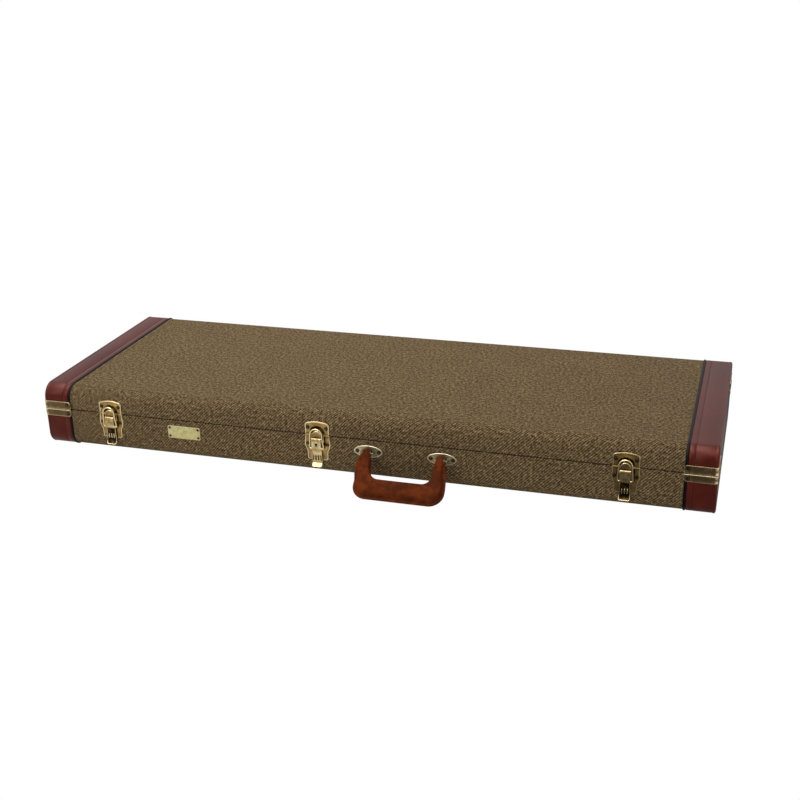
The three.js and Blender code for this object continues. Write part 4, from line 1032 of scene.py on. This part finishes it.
def grip_side(width, half, flange):
    """The upper side of one station: how far from the inner edge, and how high."""
    side = [(0, 0)] + [(6.5 * (1 - math.cos(a)), half * math.sin(a)) for a in (0.35, 0.7, 1.05, 1.35)]
    if width < 18:
        fall = ((5.2, 0.99), (4.2, 0.93), (3.4, 0.8), (2.6, 0.66), (1.8, 0.5), (0.9, 0.4), (0.3, 0.3))
        side += [(width * 0.5, half), *((width - d, half * h) for d, h in fall)]
    else:
        side += [(width * 0.5, half), (width - 10.0, half * 0.985), (width - 8.2, half * 0.86)]
        side += [(width - 6.9, half * 0.6 + flange * 0.2), (width - 6.0, flange * 1.15)]
        side += [(width - 5.4, flange), (width - 1.2, flange), (width - 0.35, flange * 0.75)]
    return [*side, (width, 0)]


half_run = grip_stations()
whole_run = half_run + [((-i[0], i[1]), (-o[0], o[1]), h) for i, o, h in reversed(half_run[:-1])]
seam_line = []
rings = []
for inner, outer, half in whole_run:
    inner, outer = Vector(inner), Vector(outer)
    width = (outer - inner).length
    across = (outer - inner) / width
    flange = min(1.9, half * 0.6)
    upper = [(inner + across * d, h) for d, h in grip_side(width, half, flange)]
    lower = [(p, -h) for p, h in reversed(upper[1:-1])]
    rings.append([on_handle(p.x, h, p.y) for p, h in upper + lower])
    if width > 20.5:
        seam_line.append((inner + across * (width - 3.5), flange + 0.1))
shape = bmesh.new()
swept(shape, rings)
suede = suede_finish()
made("handle_leather", shape, suede, "handle", ["handle_grip"], smooth=70)

dark_thread = thread_finish("dark_thread", (14, 6, 4), (36, 16, 9))
rows = [[on_handle(p.x, sign * h, p.y) for p, h in seam_line] for sign in (1, -1)]
sewn("handle_stitches", rows, dark_thread, "handle", "grip_leather", 4.0, 2.7, 1.1)


def staple_darker(p):
    """Darker on the staple than on the plate."""
    return 0.42 if front - p.y > 1.6 else 0.0


for side in ("left", "right"):
    dress(f"handle_eye_{side}", steel)
    low, high = (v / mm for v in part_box(f"handle_plate_{side}"))
    at = front_face((low.x + high.x) / 2)
    shape = bmesh.new()
    dome = [(0, 0), (0, 0.8), (0.3, 1.2), (0.9, 1.4), (1.6, 1.32), (2.1, 1.12), (2.6, 1.05)]
    pressed(shape, circle(0, pivot_z, 23, 48, 9.75), dome, at)
    leg = [(9.9, 1.2), (9.9, 5.8), (9.4, 7.4), (8.0, pivot_out)]
    staple = smoothed([*((-x, out) for x, out in leg), (0, pivot_out), *reversed(leg)], 4)
    wire(shape, [at(x, out, pivot_z) for x, out in staple], 1.75, 12)
    replaced = [f"handle_plate_{side}"]
    made(f"handle_oval_{side}", shape, pale_brass, "base", replaced, stain_and_painted_light=staple_darker)
    places = [(at(x, 1.0, pivot_z), forward) for x in (-17.3, 17.3)]
    set_rivets(f"handle_rivets_{side}", places, "base", "pale_brass", 3.2, 1.0)


# Corner clips: strips of dull brass bent round each corner, above and below the seam, with rounded ends
# and a rivet at each. The lower strip has a beaded edge that the upper one comes down to.
clip_start, clip_end, clip_out, clip_corner = 492.0, 539.7, 2.2, 4.6
straight = clip_end - clip_corner - clip_start
bend_length = (clip_corner + 0.5) * math.pi / 2
end_straight = 48 - clip_corner
clip_length = straight + bend_length + end_straight
clip_face, clip_edge, near_corner, far_corner = 0.85, 0.55, 2.4, 5
clip_brass = metal_finish("clip_brass", (44, 34, 23), (122, 102, 72), (244, 220, 170), 0.24, 0.3)


def round_corner(s, out):
    """A point on the clip, s along it and out from its inner face: x, and how far it is from the cloth."""
    if s < straight:
        return clip_start + s, clip_out + out
    if s < straight + bend_length:
        a = (s - straight) / bend_length * math.pi / 2
        radius = clip_corner + out
        return clip_end - clip_corner + radius * math.sin(a), clip_out - clip_corner + radius * math.cos(a)
    return clip_end + out, clip_out - clip_corner - (s - straight - bend_length)


def clip_wear_and_highlight(p):
    """Rubbed along the front ends, a painted highlight round the bend, and dark along the middle and down
    the side of the case.
    """
    if abs(p.x) > clip_end + 0.2:
        return 0.16
    if 5 < abs(p.z - seam_middle) < 8:
        return 0.08
    return -0.22 if abs(p.x) < clip_start + 0.9 or abs(p.x) > clip_end - 4 else 0.0


def clip_section(s, seam_edge, inward, height):
    """The clip cut across at s, as out and height: its edges come together at its rounded ends."""
    t = min(s, clip_length - s)
    drawn = near_corner - math.sqrt(near_corner ** 2 - max(near_corner - t, 0) ** 2)
    reached = height - far_corner + math.sqrt(far_corner ** 2 - max(far_corner - t, 0) ** 2)
    near, far = seam_edge + inward * drawn, seam_edge + inward * reached
    lip = math.copysign(min(0.5, abs(far - near) * 0.2), far - near)
    rise = ((-clip_face, 0), (clip_edge, 0), (0.9, 0.35), (1.0, 1), (clip_face, 3))
    nearer = [(out, near + lip * step) for out, step in rise]
    farther = [(out, far - lip * step) for out, step in reversed(rise)]
    return [*nearer, (clip_face, (near + far) / 2), *farther]


clip_stations = [0, 0.15, 0.5, 1.0, 1.7, 2.4, 3.2, 4.1, 5, 8, 12, 18, 24, 34]
bend_end = straight + bend_length
on_end = [clip_length - s for s in reversed(clip_stations) if clip_length - s > bend_end + 0.5]
clip_stations += [straight + bend_length * i / 10 for i in range(11)] + on_end
for half, rim, inward in halves:
    seam_edge = seam_middle + inward * 0.4
    height, rivet_height = (12.8, 8.0) if half == "lid" else (12.0, 7.0)
    rivet_z = seam_edge + inward * rivet_height
    for depth, y_sign, face in (("front", -1, front), ("back", 1, back)):
        for side, x_sign in sides:

            def on_clip(s, out, z):
                x, y_out = round_corner(s, out)
                return x_sign * x, face + y_sign * y_out, z

            shape = bmesh.new()
            sections = [(s, clip_section(s, seam_edge, inward, height)) for s in clip_stations]
            swept(shape, [[on_clip(s, out, z) for out, z in section] for s, section in sections])
            if half == "base":
                wire(shape, [on_clip(s, clip_face, seam_edge - 0.8) for s in clip_stations[2:-2]], 0.62, 10)
            clip = f"{half}_{depth}_{side}"
            name, solid = f"corner_clip_{clip}", f"clip_{clip}"
            made(name, shape, clip_brass, half, [solid], stain_and_painted_light=clip_wear_and_highlight)
            places = [(on_clip(6, 0.8, rivet_z), (0, y_sign, 0))]
            places += [(on_clip(clip_length - 6, 0.8, rivet_z), (x_sign, 0, 0))]
            set_rivets(f"clip_rivets_{clip}", places, half, "dark_brass", 2.9, 0.62)


# Lining: firm foam under golden-brown plush, cut out for the instrument in the base and hollowed in
# the lid. The plush rounds every edge, so each block is a copy of its solid, remeshed and relaxed.
def plush_finish():
    build = Finish("plush")
    pile = build.noise(1300.0, 3.0, 0.7)
    brushed = build.noise(34.0, 4.0, 0.55, 0.5)
    tone = build.smooth(0.22, 0.78, brushed * 0.55 + pile * 0.45)
    base = build.colours(tone, (122, 78, 40), (162, 112, 64))
    velvet = {"Specular IOR Level": 0.1, "Sheen Weight": 0.35, "Sheen Roughness": 0.4}
    velvet["Sheen Tint"] = linear(226, 178, 120)
    return build.surface(base, 0.86 + 0.12 * pile, pile * 0.8 + brushed * 0.4, 0.6, 0.0009, velvet)


def relaxed(node, voxel, rounds, swelling=0.0, shrink=0.0):
    """A soft copy of a solid: remeshed in even cells, its edges relaxed, and where it is a pad, filled by
    a short cloth simulation whose points may move no further than the swelling, in mm."""
    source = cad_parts[node]
    mesh = source.data.copy()
    mesh.transform(source.matrix_world)
    copy = bpy.data.objects.new(f"{node}_copy", mesh)
    scene.collection.objects.link(copy)
    cells = copy.modifiers.new("cells", "REMESH")
    cells.mode, cells.voxel_size = "VOXEL", voxel * mm
    ease = copy.modifiers.new("ease", "SMOOTH")
    ease.factor, ease.iterations = 0.5, rounds
    if shrink:
        thin = copy.modifiers.new("thin", "DISPLACE")
        thin.strength, thin.mid_level = -shrink * mm, 0
    copy.data = baked(copy)
    if swelling:
        rest = [v.co.copy() for v in copy.data.vertices]
        low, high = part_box(node)
        bed = copy.vertex_groups.new(name="bed")
        bed.add([i for i, p in enumerate(rest) if p.z < low.z + 1.5 * voxel * mm], 1.0, "REPLACE")
        cloth = copy.modifiers.new("filling", "CLOTH")
        cloth.settings.quality, cloth.settings.mass = 5, 0.2
        cloth.settings.use_pressure, cloth.settings.uniform_pressure_force = True, 4.0
        cloth.settings.vertex_group_mass = "bed"
        cloth.settings.effector_weights.gravity = 0
        for step in range(1, 21):
            scene.frame_set(step)
        filled = baked(copy)
        scene.frame_set(1)
        for vert, start in zip(filled.vertices, rest):
            move = vert.co - start
            end = start + move * min(1, swelling * mm / max(move.length, 1e-9))
            vert.co = Vector(min(max(c, a), b) for c, a, b in zip(end, low, high))
        copy.data = filled
    shape = bmesh.new()
    shape.from_mesh(copy.data)
    bpy.data.objects.remove(copy)
    return shape


def plush_block(name, node, body, *softness, **filling):
    """A block under plush. The softness is the cells' size and the rounds of relaxing."""
    return made(name, relaxed(node, *softness, **filling), plush, body, [node], smooth=80)


plush = plush_finish()
for half in ("base", "lid"):
    plush_block(f"lining_{half}", f"{half}_lining", half, 4.0, 3)


# Neck cradle: a small foam block under the same plush, hollowed to hold the instrument's neck. Its
# padding is a little fuller than the block, and never leaves the block's box.
cradle = plush_block("neck_pad", "neck_cradle", "base", 2.2, 3, swelling=1.2, shrink=0.7)


# Accessory compartment: a board box covered in plush, let into the foam. Its padded lid swings up on
# the plush at its back edge, and a leather tab is sewn to the front edge to lift it by.
plush_block("accessory_box", "compartment_box", "base", 1.5, 2)
cover = plush_block("accessory_lid", "compartment_lid", "compartment_cover", 1.9, 2, swelling=1.0, shrink=0.5)
low, high = (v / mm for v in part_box("compartment_tab"))
half_tab, tab_middle, tab_seat = (high.x - low.x) / 2, (low.x + high.x) / 2, low.z
tab_line = [(half_tab, high.y), (-half_tab, high.y), *arc(0, low.y + half_tab, half_tab, 180, 360, 20)]


def on_cover(x, out, y):
    return tab_middle + x, y, tab_seat + out


shape = bmesh.new()
pressed(shape, tab_line, [(0, 0.1), (0, 0.75), (0.3, 1.1), (0.8, 1.2), (1.6, 1.15)], on_cover)
made("pull_tab", shape, cap_leather, "compartment_cover", ["compartment_tab"])
tab_seam = drawn_in(tab_line, 2.2)
row = [on_cover(x, 1.05, y) for x, y in [*tab_seam, tab_seam[0]]]
sewn("pull_tab_stitches", [row], dark_thread, "compartment_cover", "cap_leather", 2.6, 1.8, 0.5)


low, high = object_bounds()
